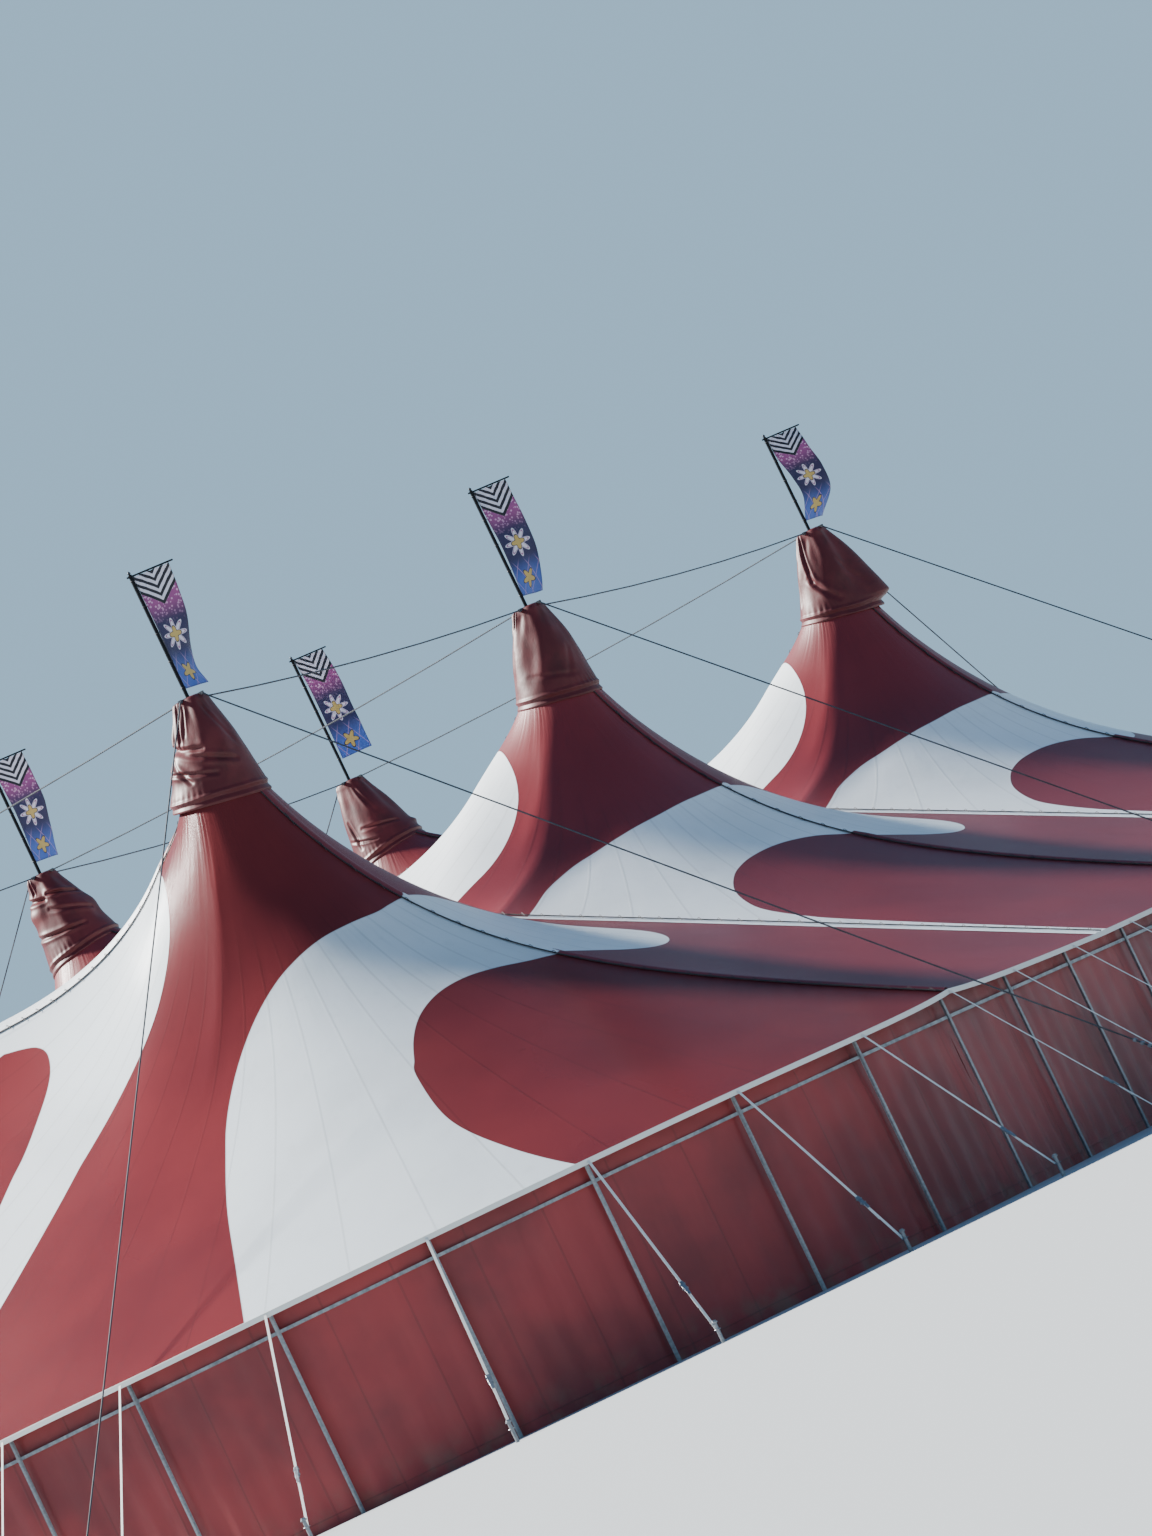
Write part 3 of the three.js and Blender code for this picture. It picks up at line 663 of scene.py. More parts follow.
@dataclass(frozen=True)
class FlagPrint(Finish):
    """A printed flag: chevrons of black and white at its head, then dots, a large star, lozenges and a small star.

    A star is held as how far down its centre is and how far its points reach, both in flag widths, and how many
    points it has.
    """

    name: str = "flag_print"
    tall: float = 2.4 / 0.79
    large: tuple = (1.66, 0.4, 8)
    core: tuple = (1.66, 0.19, 4)
    small: tuple = (2.62, 0.24, 5)
    lattice: float = 0.6
    outline: float = 0.06
    bars: float = 5.0
    slope: float = 0.85
    bars_end: float = 0.9
    soft: float = 0.006
    rim: tuple = (0.035, 0.025)
    black: tuple = srgb(12, 12, 26)
    white: tuple = srgb(216, 212, 224)
    magenta: tuple = srgb(150, 70, 128)
    indigo: tuple = srgb(32, 30, 74)
    blue: tuple = srgb(62, 96, 178)
    pink: tuple = srgb(212, 160, 196)
    yellow: tuple = srgb(196, 166, 92)

    def star(self, g: Graph, u: Value, v: Value, centre: float, size: float, points: int) -> bpy.types.NodeSocket:
        """Gives how far a place is inside a star: its edge is at size (0.72 + 0.28 cos(points · angle)).

        Args:
            g: The nodes to fill in.
            u: Share across the flag.
            v: Height down the flag, in flag widths.
            centre: How far down its centre is.
            size: How far its points reach.
            points: How many points it has.

        Returns:
            The distance inside its edge, in flag widths.
        """
        x, y = g.math("SUBTRACT", u, 0.5), g.math("SUBTRACT", v, centre)
        reach = g.math("SQRT", g.math("ADD", g.math("MULTIPLY", x, x), g.math("MULTIPLY", y, y)))
        ray = g.math("COSINE", g.math("MULTIPLY", g.math("ARCTAN2", x, y), float(points)))
        edge = g.math("MULTIPLY_ADD", ray, 0.28 * size, 0.72 * size)
        return g.math("SUBTRACT", edge, reach)

    def build(self, g: Graph) -> bpy.types.Material:
        """Draws the print on the flag's cut plan: u runs from the pole to the fly, v down from the gaff.

        Args:
            g: The nodes to fill in.

        Returns:
            The material.
        """
        u, across = g.cut()
        v = g.math("MULTIPLY", across, self.tall)
        place = g.place()
        colour = g.mix(g.between(v, 0.75, 1.35), self.magenta, self.indigo)
        colour = g.mix(g.between(v, 1.95, 2.7), colour, self.blue)
        dots = g.node("TexVoronoi", "Distance", Vector=g.vector(u, v), Scale=13.0)
        dots = g.math("MULTIPLY", g.between(dots, 0.42, 0.3), g.between(v, 1.45, 0.7))
        colour = g.mix(dots, colour, self.pink)
        crossed = (g.math("MULTIPLY_ADD", v, slope, u) for slope in (self.lattice, -self.lattice))
        lines = (g.math("ABSOLUTE", g.math("SINE", g.math("MULTIPLY", way, 8.0))) for way in crossed)
        lozenge = g.between(g.math("MINIMUM", *lines), 0.11, 0.05)
        lozenge = g.math("MULTIPLY", lozenge, g.between(v, 2.05, 2.3))
        colour = g.mix(g.math("MULTIPLY", lozenge, 0.55), colour, self.pink)
        large, core, small = (self.star(g, u, v, *star) for star in (self.large, self.core, self.small))
        ring = g.math("ABSOLUTE", g.math("SUBTRACT", large, self.outline))
        colour = g.mix(g.between(large, -self.soft, self.soft), colour, self.white)
        colour = g.mix(g.between(ring, 0.024, 0.014), colour, self.magenta)
        for star, line in ((core, 0.03), (small, 0.035)):
            colour = g.mix(g.between(star, -line, 0.008 - line), colour, self.black)
            colour = g.mix(g.between(star, -self.soft, self.soft), colour, self.yellow)
        point = g.math("ABSOLUTE", g.math("SUBTRACT", u, 0.5))
        chevron = g.math("MULTIPLY_ADD", point, self.slope, v)
        stripe = g.math("SINE", g.math("MULTIPLY", chevron, TURN * self.bars))
        bars = g.mix(g.between(stripe, -0.12, 0.12), self.white, self.black)
        colour = g.mix(g.between(chevron, self.bars_end + 0.005, self.bars_end - 0.005), colour, bars)
        sides = g.math("MINIMUM", u, g.math("SUBTRACT", 1.0, u))
        hem = g.between(g.math("MINIMUM", sides, g.math("SUBTRACT", self.tall, v)), *self.rim)
        colour = g.shade(colour, hem, 0.35)
        colour = g.shade(colour, g.between(g.noise(place, 5.0), 0.5, 0.8), 0.12)
        knit = g.node("TexWave", "Fac", Vector=g.vector(u, v), Scale=90.0, bands_direction="DIAGONAL")
        normal = g.bump(g.noise(place, 9.0, 2.0), 0.012)
        normal = g.bump(hem, 0.002, normal)
        normal = g.bump(knit, 0.0004, normal)
        return g.finish(Base_Color=colour, Roughness=0.62, Normal=normal, Sheen_Weight=0.25, Sheen_Roughness=0.4)


@dataclass(frozen=True)
class WallCloth(Finish):
    """Coated curtain cloth: welded drops, a doubled hem and splashes near the ground."""

    name: str = "wall_cloth"
    cloth: tuple = srgb(150, 46, 48)
    dark: tuple = srgb(116, 34, 38)
    splash: tuple = srgb(112, 92, 76)
    drop: float = 0.7
    hem_height: float = 0.09
    splash_height: float = 0.4
    fold_depth: float = 0.02
    seam_depth: float = 0.002
    weave_depth: float = 0.0003

    def build(self, g: Graph) -> bpy.types.Material:
        """Reads the cut plan, with u along the wall and v up from the ground, both in the model's metres.

        Args:
            g: The nodes to fill in.

        Returns:
            The material.
        """
        u, v = g.cut()
        place = g.place()
        colour = g.mix(g.between(g.noise(place, 0.9, 4.0), 0.35, 0.7), self.cloth, self.dark)
        off = g.math("MULTIPLY", g.off_whole(g.math("DIVIDE", u, self.drop)), self.drop)
        seam = g.between(off, 0.014, 0.007)
        hem = g.between(g.math("ABSOLUTE", g.math("SUBTRACT", v, self.hem_height)), 0.008, 0.004)
        colour = g.shade(g.shade(colour, seam, 0.2), hem, 0.25)
        low = g.between(v, self.splash_height, 0.0)
        low = g.math("MULTIPLY", low, g.between(g.noise(place, 4.5, 5.0), 0.4, 0.7))
        colour = g.mix(g.math("MULTIPLY", low, 0.55), colour, self.splash)
        rough = g.spread(g.noise(place, 2.4), 0.36, 0.56)
        weave = g.node("TexWave", "Fac", Vector=place, Scale=240.0, bands_direction="DIAGONAL")
        normal = g.bump(g.noise(g.vector(g.math("MULTIPLY", u, 3.0), v), 1.4, 2.0), self.fold_depth)
        normal = g.bump(g.math("ADD", seam, hem), self.seam_depth, normal)
        normal = g.bump(weave, self.weave_depth, normal)
        return g.finish(Base_Color=colour, Roughness=rough, Normal=normal, Coat_Weight=0.12, Coat_Roughness=0.4)


@dataclass(frozen=True)
class Steel(Finish):
    """Steel tube or plate: a zinc flake pattern under dull streaks, or paint above a height."""

    name: str = "galvanised_steel"
    light: tuple = srgb(158, 162, 166)
    dark: tuple = srgb(112, 117, 122)
    paint: tuple = srgb(26, 27, 30)
    painted_above: float | None = None
    metal: float = 0.85
    paint_edge: float = 0.004

    def build(self, g: Graph) -> bpy.types.Material:
        """Mixes two greys by flake and by streak, and the paint in above its height.

        Args:
            g: The nodes to fill in.

        Returns:
            The material.
        """
        place = g.place()
        flake = g.node("TexVoronoi", "Distance", Vector=place, Scale=38.0)
        streak = g.noise(g.node("Mapping", Vector=place, Scale=(14.0, 14.0, 0.8)), 1.0, 4.0)
        share = g.math("ADD", g.math("MULTIPLY", flake, 0.6), g.math("MULTIPLY", g.between(streak, 0.3, 0.75), 0.5))
        colour = g.mix(share, self.light, self.dark)
        if self.painted_above is not None:
            painted = g.between(g.axis(2), self.painted_above - self.paint_edge, self.painted_above)
            colour = g.mix(painted, colour, self.paint)
        rough = g.spread(streak, 0.32, 0.6)
        normal = g.bump(g.noise(place, 60.0), 0.0006, g.bump(flake, 0.0015))
        return g.finish(Base_Color=colour, Roughness=rough, Normal=normal, Metallic=self.metal)


@dataclass(frozen=True)
class WireRope(Finish):
    """Weathered wire rope, with its strands laid aslant."""

    name: str = "wire_rope"
    light: tuple = srgb(84, 88, 94)
    dark: tuple = srgb(58, 61, 67)

    def build(self, g: Graph) -> bpy.types.Material:
        """Lays slanting bands for the strands, darker in their grooves as painted shade, and blotches for the
        weathering.

        Args:
            g: The nodes to fill in.

        Returns:
            The material.
        """
        place = g.place()
        lay = g.node("TexWave", "Fac", Vector=place, Scale=26.0, bands_direction="DIAGONAL", wave_profile="SIN")
        # The strands' grooves take the dark grey and their crowns the light one: painted shade.
        colour = g.mix(lay, self.dark, self.light)
        colour = g.shade(colour, g.between(g.noise(place, 7.0, 4.0), 0.4, 0.7), 0.4)
        rough = g.spread(g.noise(place, 11.0), 0.6, 0.8)
        return g.finish(Base_Color=colour, Roughness=rough, Normal=g.bump(lay, 0.0012), Specular_IOR_Level=0.3)


@dataclass(frozen=True)
class Webbing(Finish):
    """Woven strap or braided rope in one colour, with a rib along it and soiled places."""

    name: str = "webbing"
    thread: tuple = srgb(206, 202, 190)
    shadow: tuple = srgb(150, 146, 134)
    ribs: float = 90.0
    slant: float = 0.03
    rib_depth: float = 0.0012

    def build(self, g: Graph) -> bpy.types.Material:
        """Reads the cut plan: u round the strap and v along it in the model's metres.

        Args:
            g: The nodes to fill in.

        Returns:
            The material.
        """
        u, v = g.cut()
        place = g.place()
        along = g.math("ADD", v, g.math("MULTIPLY", u, self.slant))
        rib = g.between(g.math("SINE", g.math("MULTIPLY", along, self.ribs * TURN)), -1.0, 1.0)
        colour = g.mix(rib, self.shadow, self.thread)
        colour = g.shade(colour, g.between(g.noise(place, 3.0, 5.0), 0.45, 0.75), 0.3)
        rough = g.spread(g.noise(place, 13.0), 0.6, 0.85)
        return g.finish(Base_Color=colour, Roughness=rough, Normal=g.bump(rib, self.rib_depth), Sheen_Weight=0.2)


TENT_CLOTH = TentCloth()
# The left end's copy of the tent cloth: its red and white are darker as painted shade, and it is less glossy.
SHADED_END_CLOTH = TentCloth(
    "tent_cloth_left_end_shaded", srgb(108, 43, 45), srgb(95, 38, 41), srgb(208, 215, 219), rough=(0.22, 0.28), gloss=0.06
)
CAP_CLOTH = CapCloth()
FLAG_PRINT = FlagPrint()
WALL_CLOTH = WallCloth()
GALVANISED = Steel()
MAST_STEEL = Steel("mast_steel", painted_above=15.46 * SCALE)  # the flagpoles, from just over the caps
DARK_STEEL = Steel("dark_steel", srgb(74, 76, 80), srgb(40, 42, 46))
WIRE_ROPE = WireRope()
WEBBING = Webbing()
LACING = Webbing("lacing_rope", srgb(52, 44, 46), srgb(24, 20, 22), 40.0)


# The roof


@dataclass(frozen=True)
class RoofForm:
    """The roof's height over the plan, from the same named sizes as the part's source."""

    bay: float = 14.0
    row_y: float = 7.0
    half_bay: float = 7.0
    reach: float = 12.0
    valley_z: float = 9.45
    pitch: float = 0.475
    peak_rise: float = 6.6
    peak_spread: float = 2.2
    peak_power: float = 0.85
    saddle_rise: float = 1.45
    saddle_full_y: float = 4.6
    saddle_end_y: float = 8.0
    saddle_fade: float = 3.0
    crest_rise: float = 0.12
    crest_width: float = 1.6
    ring_r: float = 0.88
    ring_z: float = 13.4
    ring_shift: float = 0.24
    ring_tilt: float = 0.2
    ring_fade: float = 2.2
    fold_rise: float = 0.15
    fold_width: float = 0.4
    fold_start: float = -0.1
    fold_drift: float = -0.065
    fold_full: float = 1.8
    fold_end: tuple = (2.0, 5.4)

    @property
    def ring_y(self) -> float:
        """Gives how far the middle of a ring is from the tent's long axis."""
        return self.row_y - self.ring_shift

    def ridge(self, x: Array) -> Array:
        """Gives the nearest ridge, as a place along the tent."""
        return self.bay * np.clip(np.round(x / self.bay), -1, 1)

    def rise(self, distance: Array) -> Array:
        """Gives a peak's height over its foot: it dies away as exp(−(distance / spread)^power)."""
        return self.peak_rise * np.exp(-((distance / self.peak_spread) ** self.peak_power))

    def free(self, x: Array, y: Array) -> Array:
        """Adds valley height, fall to the eave, peaks, saddle and crest.

        Args:
            x: Place along the tent.
            y: Place across it.

        Returns:
            The height of the roof before it is brought to its rings.
        """
        aside = np.abs(x - self.ridge(x))
        past = np.maximum(np.abs(x) - self.bay, 0)
        fall = np.hypot(past, np.maximum(np.abs(y) - self.row_y, 0))
        near, far = np.abs(y) - self.ring_y, np.abs(y) + self.ring_y
        at_valley = self.rise(np.hypot(self.half_bay, near)) + self.rise(np.hypot(self.half_bay, far))
        across = np.where(past > 0, np.exp(-past / self.saddle_fade), 1 - (aside / self.half_bay) ** 2)
        saddle = self.saddle_rise * (1 - smooth_step(self.saddle_full_y, self.saddle_end_y, np.abs(y))) * across
        crest = self.crest_rise * (np.exp(-aside / self.crest_width) - math.exp(-self.half_bay / self.crest_width))
        peaks = self.rise(np.hypot(aside, near)) + self.rise(np.hypot(aside, far))
        peaks = peaks - at_valley * (1 - smooth_step(0, self.half_bay, past))
        return self.valley_z - self.pitch * fall + peaks + saddle + crest

    def height(self, x: Array, y: Array, folded: bool = True) -> Array:
        """Adds to the free form a correction that brings it to the ring's edge: it fades as exp(−distance / fade).

        Args:
            x: Place along the tent.
            y: Place across it.
            folded: Whether the soft fold that runs from each ring along the row of masts is added.

        Returns:
            The height of the membrane's top.
        """
        ridge, row = self.ridge(x), np.where(y < 0, -self.ring_y, self.ring_y)
        reach = np.hypot(x - ridge, y - row)
        share = self.ring_r / np.maximum(reach, TINY)
        edge_x, edge_y = ridge + (x - ridge) * share, row + (y - row) * share
        at_ring = self.ring_z + self.ring_tilt * (self.ring_y - np.abs(edge_y))
        correction = at_ring - self.free(edge_x, edge_y)
        surface = self.free(x, y) + correction * np.exp((self.ring_r - np.maximum(reach, self.ring_r)) / self.ring_fade)
        if folded:
            aside, beyond = np.abs(x - ridge), np.abs(y) - self.row_y
            off = np.abs(beyond - self.fold_start - self.fold_drift * aside) / self.fold_width
            fade = smooth_step(self.ring_r, self.fold_full, aside) * (1 - smooth_step(*self.fold_end, aside))
            surface = surface + self.fold_rise * np.exp(-off) * fade
        return surface


@dataclass(frozen=True)
class LobePattern:
    """The outlines of the white lobes, as places (aside from the ridge, beyond the row of masts).

    An outline is closed outside the section: far_in is beyond the tent's long axis, past_eave just past the eave
    and far_aside well past it.
    """

    row_y: float = 7.0
    far_in: float = -9.0
    past_eave: float = 13.0
    far_aside: float = 16.0
    tip: tuple = ((-1.5, 2.35), (0, 2.45), (1.2, 2.5), (2.4, 2.75), (3.5, 3.1), (4.3, 3.4), (4.72, 3.85),
                  (4.65, 4.4), (4.15, 4.95), (3.35, 5.38), (2.5, 5.55), (1.7, 5.45), (1.0, 5.22), (0, 4.88),
                  (-1.5, 4.4))
    tip_inner: tuple = ((-1.5, -2.0), (0, -2.1), (1.8, -2.35), (4.0, -3.2), (5.2, -4.6), (5.6, -7.0))
    arm_outer: tuple = ((-1.5, 2.6), (0, 2.43), (0.8, 2.31), (1.45, 2.1), (2.1, 1.81), (2.75, 1.42), (3.4, 1.04),
                        (4.1, 0.71), (4.8, 0.55), (5.5, 0.5), (6.4, 0.6), (7.2, 0.72), (8.5, 1.0))
    arm_lower: tuple = ((6.55, 13.0), (6.45, 9.5), (6.33, 6.9), (6.18, 6.0), (5.85, 5.1), (5.4, 4.55), (4.65, 4.0),
                        (3.8, 3.69), (3.1, 3.63), (2.5, 3.7), (1.9, 3.84), (1.3, 4.04), (0.7, 4.3), (0, 4.72),
                        (-1.5, 5.4))
    arm_inner: tuple = ((-1.0, -2.4), (0.3, -2.05), (0.9, -1.6), (1.39, -1.25), (1.93, -0.95), (2.43, -0.81),
                        (2.95, -0.78), (3.5, -0.82), (4.03, -0.91), (4.53, -1.06), (5.1, -1.33), (7.0, -2.25),
                        (8.5, -3.1))
    end_outer: tuple = ((-1.5, 2.6), (0, 2.48), (0.6, 2.42), (1.05, 2.31), (1.6, 2.0), (2.08, 1.62), (2.52, 1.24),
                        (2.92, 0.89), (3.36, 0.6), (3.83, 0.39), (4.36, 0.26), (4.95, 0.22), (5.62, 0.28),
                        (6.4, 0.47), (8.0, 1.0), (10.0, 1.9), (13.0, 3.3))
    end_lower: tuple = ((10.2, 13.0), (9.3, 10.4), (8.6, 8.3), (7.8, 6.7), (6.8, 5.3), (5.4, 4.23), (4.84, 4.0),
                        (4.3, 3.82), (3.76, 3.72), (3.27, 3.72), (2.7, 3.83), (2.06, 4.08), (1.42, 4.42),
                        (0.78, 4.76), (0, 5.04), (-1.5, 5.7))
    end_inner: tuple = ((-1.0, -2.6), (0.12, -2.2), (0.6, -1.9), (0.94, -1.73), (1.29, -1.61), (1.65, -1.58),
                        (2.0, -1.64), (2.4, -1.79), (2.8, -2.0), (3.2, -2.29), (3.6, -2.62), (4.1, -3.0),
                        (4.7, -3.42), (5.3, -3.72), (8.0, -4.7), (10.0, -5.25), (13.0, -5.6))
    axis_lobe: tuple = ((0.6, 0.0), (0.7, 0.5), (0.86, 0.95), (1.15, 1.3), (1.62, 1.52), (2.1, 1.57), (2.75, 1.5),
                        (3.5, 1.4), (4.1, 1.24), (5.2, 1.1), (7.0, 0.95), (9.5, 0.8), (13.0, 0.7))

    def distance(self, lobes: Lobes, aside: Array, beyond: Array) -> Array:
        """Gives how far inside the white a place is, in the model's metres, below 0 in the red.

        A tip is white where it is inside its own outline or the hall's. Elsewhere the white lies inside the outer or
        the inner outline, less the red lobe on the tent's long axis.

        Args:
            lobes: How the lobes run over the section.
            aside: Distance from the ridge.
            beyond: Distance out from the row of masts, below 0 between the rows.

        Returns:
            The signed distance.
        """
        if lobes is Lobes.TIP:
            tip = inside_distance(aside, beyond, spline(self.tip))
            edge = spline(self.tip_inner)
            inner = np.vstack([edge, (edge[-1, 0], self.far_in), (edge[0, 0], self.far_in)])
            return np.maximum(tip, inside_distance(aside, beyond, inner)) * SCALE
        end = lobes is Lobes.END
        upper, lower = (self.end_outer, self.end_lower) if end else (self.arm_outer, self.arm_lower)
        corner = (self.far_aside, self.past_eave)
        outer = inside_distance(aside, beyond, np.vstack([spline(upper), corner, spline(lower)]))
        edge = spline(self.end_inner if end else self.arm_inner)
        closed = np.vstack([edge, (self.past_eave, self.far_in), (edge[0, 0], self.far_in)])
        inner = inside_distance(aside, beyond, closed)
        half = spline(self.axis_lobe)
        axis = np.vstack([half, (half * (1, -1))[::-1]])
        inner = np.minimum(inner, -inside_distance(aside, beyond + self.row_y, axis))
        return np.maximum(outer, inner) * SCALE


@dataclass(frozen=True)
class Section:
    """One laced section of the roof: its piece and node, its ridge, its way from there, its lobes and its cloth."""

    name: str
    node: str
    ridge: float
    way: int
    lobes: Lobes
    finish: TentCloth = TENT_CLOTH


# From left to right, so that the two sections of a ridge follow one another.
SECTIONS = (
    Section("membrane_left_end", "roof_left_end", -14.0, -1, Lobes.END, SHADED_END_CLOTH),
    Section("membrane_left_bay", "roof_left_bay", -14.0, 1, Lobes.TIP),
    Section("membrane_middle_bay_left", "roof_middle_bay_left", 0.0, -1, Lobes.ARM),
    Section("membrane_middle_bay_right", "roof_middle_bay_right", 0.0, 1, Lobes.TIP),
    Section("membrane_right_bay", "roof_right_bay", 14.0, -1, Lobes.ARM),
    Section("membrane_right_end", "roof_right_end", 14.0, 1, Lobes.END),
)
RIDGES = {"left": -14.0, "middle": 0.0, "right": 14.0}
VALLEYS = {"left": -7.0, "right": 7.0}
ALL_WHITE = 0.05  # a place as far inside the white as this is white all over


@dataclass(frozen=True)
class Membrane:
    """The roof: six sheets, the flaps over their seams and the lacing beside them."""

    form: RoofForm = RoofForm()
    pattern: LobePattern = LobePattern()
    cloth: float = 0.004
    rows: tuple = (46, 25, 78)
    row_spread: float = 1.15
    columns: int = 58
    end_columns: int = 88
    column_spread: float = 1.3
    fan_lines: int = 84
    flap_half: float = 0.13
    flap_flat: float = 0.29
    flap_lift: float = 0.012
    flap_columns: int = 9
    seam_clear: float = 0.02
    seam_rows: tuple = (110, 100, 110)
    roll_rise: float = 0.05
    valley_rise: float = 0.02
    valley_shift: float = 0.05
    valley_rows: int = 300
    rope_r: float = 0.014
    rope_lift: float = 0.022
    lace_r: float = 0.007
    lace_step: float = 0.4
    lace_slant: float = 0.07
    ridge_lace: float = 0.05
    valley_lace: float = 0.07
    lace_lift: float = 0.035
    lace_rise: float = 0.045
    fullness: tuple = (1.12, 1.08)

    def stations(self) -> Array:
        """Gives the places across the tent where the grid has rows: close at the rings, wider towards the eaves.

        Returns:
            The places in order. The grid's rows are counted from the middle to a ring, past it and on to the eave.
        """
        f = self.form
        inside, beside, outside = self.rows
        hole = f.ring_r + GAP
        arc = f.ring_y + hole * np.sin(np.linspace(-math.pi / 2, math.pi / 2, beside))
        inner = np.linspace(0, f.ring_y - hole, inside)[:-1]
        top = f.ring_y + hole
        outer = top + (f.row_y + f.reach - top) * np.linspace(0, 1, outside)[1:] ** self.row_spread
        half = np.concatenate([inner, arc, outer])
        return np.concatenate([-half[:0:-1], half])

    def lines(self, section: Section) -> tuple[Array, Array]:
        """Gives where each row of a section's grid starts, at the ridge or ring, and where it ends.

        Args:
            section: The section.

        Returns:
            The starts and the ends, as places (x, y).
        """
        f, y = self.form, self.stations()
        hole = f.ring_r + GAP
        end = section.lobes is Lobes.END
        y = y[np.abs(y) <= f.ring_y + TINY] if end else y
        bulge = np.sqrt(np.maximum(hole**2 - (np.abs(y) - f.ring_y) ** 2, 0))
        start_x = np.where(bulge > TINY, bulge, GAP / 2)
        end_x = np.full(len(y), f.reach if end else f.half_bay - GAP / 2)
        end_y = y * (f.row_y / f.ring_y if end else 1.0)
        starts, ends = np.stack([start_x, y], 1), np.stack([end_x, end_y], 1)
        if end:
            angle = np.linspace(0, math.pi / 2, self.fan_lines + 1)[1:]
            ray = np.stack([np.cos(angle), np.sin(angle)], 1)
            near = np.array([GAP / 2, f.ring_y]) + ray * hole
            far = np.array([GAP / 2, f.row_y]) + ray * f.reach
            flip = np.array([1, -1])
            starts = np.vstack([near[::-1] * flip, starts, near])
            ends = np.vstack([far[::-1] * flip, ends, far])
        turn = np.array([section.way, 1])
        move = np.array([section.ridge, 0])
        return starts * turn + move, ends * turn + move

    def carried(self, points: Array, lobes: Lobes) -> dict[str, Array]:
        """Gives the numbers that the cloth's finish reads.

        Args:
            points: Places on the roof.
            lobes: How the lobes run there.

        Returns:
            lobe, the distance inside the white, spoke, the angle at the mast, and reach, the distance from it.
        """
        aside = np.abs(points[:, 0] - self.form.ridge(points[:, 0]))
        near = np.abs(points[:, 1]) - self.form.ring_y
        return {
            "lobe": self.pattern.distance(lobes, aside, np.abs(points[:, 1]) - self.form.row_y),
            "spoke": np.arctan2(near, aside),
            "reach": np.hypot(aside, near),
        }

    def sheet(self, section: Section) -> Surface:
        """Lays a grid over a section: start + (end − start) s, with s a power of the column, at the roof's height.

        Args:
            section: The section.

        Returns:
            Its surface, with the cut plan in the model's metres.
        """
        starts, ends = self.lines(section)
        count = self.end_columns if section.lobes is Lobes.END else self.columns
        share = np.linspace(0, 1, count) ** self.column_spread
        plan = starts[:, None] + (ends - starts)[:, None] * share[None, :, None]
        x, y = plan[..., 0].ravel(), plan[..., 1].ravel()
        points = np.stack([x, y, self.form.height(x, y)], 1)
        faces = [grid_faces(len(starts), count)]
        numbers = self.carried(points, section.lobes)
        return Surface(points, faces, points[:, :2] * SCALE, numbers).facing(UP)

    def seam_runs(self) -> list[Array]:
        """Gives the stretches of a ridge between its eaves and its rings.

        Returns:
            The stations of the front, middle and back stretches, as places across the tent.
        """
        f = self.form
        clear = f.ring_r + self.seam_clear
        front, middle, back = self.seam_rows
        eave = f.row_y + f.reach - self.seam_clear
        return [
            -np.linspace(f.ring_y + clear, eave, front)[::-1],
            np.linspace(clear - f.ring_y, f.ring_y - clear, middle),
            np.linspace(f.ring_y + clear, eave, back),
        ]

    def flap(self, seam_x: float, y: Array, lobes: tuple[Lobes, Lobes], raised: float) -> Surface:
        """Lays a strip over a seam, arched by raised · cos(π · share / 2) over the roof.

        Args:
            seam_x: Where the seam is.
            y: The stations along it.
            lobes: How the lobes run on its left and on its right.
            raised: The height of the arch.

        Returns:
            The strip's surface.
        """
        share = np.linspace(-1, 1, self.flap_columns)
        x, yy = np.meshgrid(seam_x + share * self.flap_half, y)
        lift = self.flap_lift + raised * np.cos(share * math.pi / 2)[None]
        z = self.form.height(x, yy, False) + lift
        points = np.stack([x.ravel(), yy.ravel(), z.ravel()], 1)
        left, right = (self.carried(points, way) for way in lobes)
        on_left = points[:, 0] < seam_x
        numbers = {k: np.where(on_left, left[k], right[k]) for k in left}
        faces = [grid_faces(len(y), self.flap_columns)]
        return Surface(points, faces, points[:, :2] * SCALE, numbers).facing(UP)

    def rope(self, x: float, y: Array) -> Surface:
        """Carries the lacing rope along the edge of a flap, just clear of the cloth."""
        z = self.form.height(np.full(len(y), x), y, False) + self.rope_r + self.rope_lift
        return sweep(np.stack([np.full(len(y), x), y, z], 1), disc(self.rope_r, 8))

    def laces(self, x: float, y: Array, reach: float) -> list[Surface]:
        """Crosses a rope with short loops of cord at even steps: height = lift + rise · cos(π · share / 2).

        Args:
            x: Where the rope is.
            y: The rope's stations.
            reach: How far a loop goes to each side of the rope.

        Returns:
            The loops.
        """
        made = []
        share = np.linspace(-1, 1, 5)
        for centre in np.arange(y[0] + self.lace_step / 2, y[-1] - self.lace_step / 4, self.lace_step):
            xs, ys = x + share * reach, centre + share * self.lace_slant
            z = self.form.height(xs, ys, False) + self.lace_lift + self.lace_rise * np.cos(share * math.pi / 2)
            made.append(sweep(np.stack([xs, ys, z], 1), disc(self.lace_r, 4)))
        return made

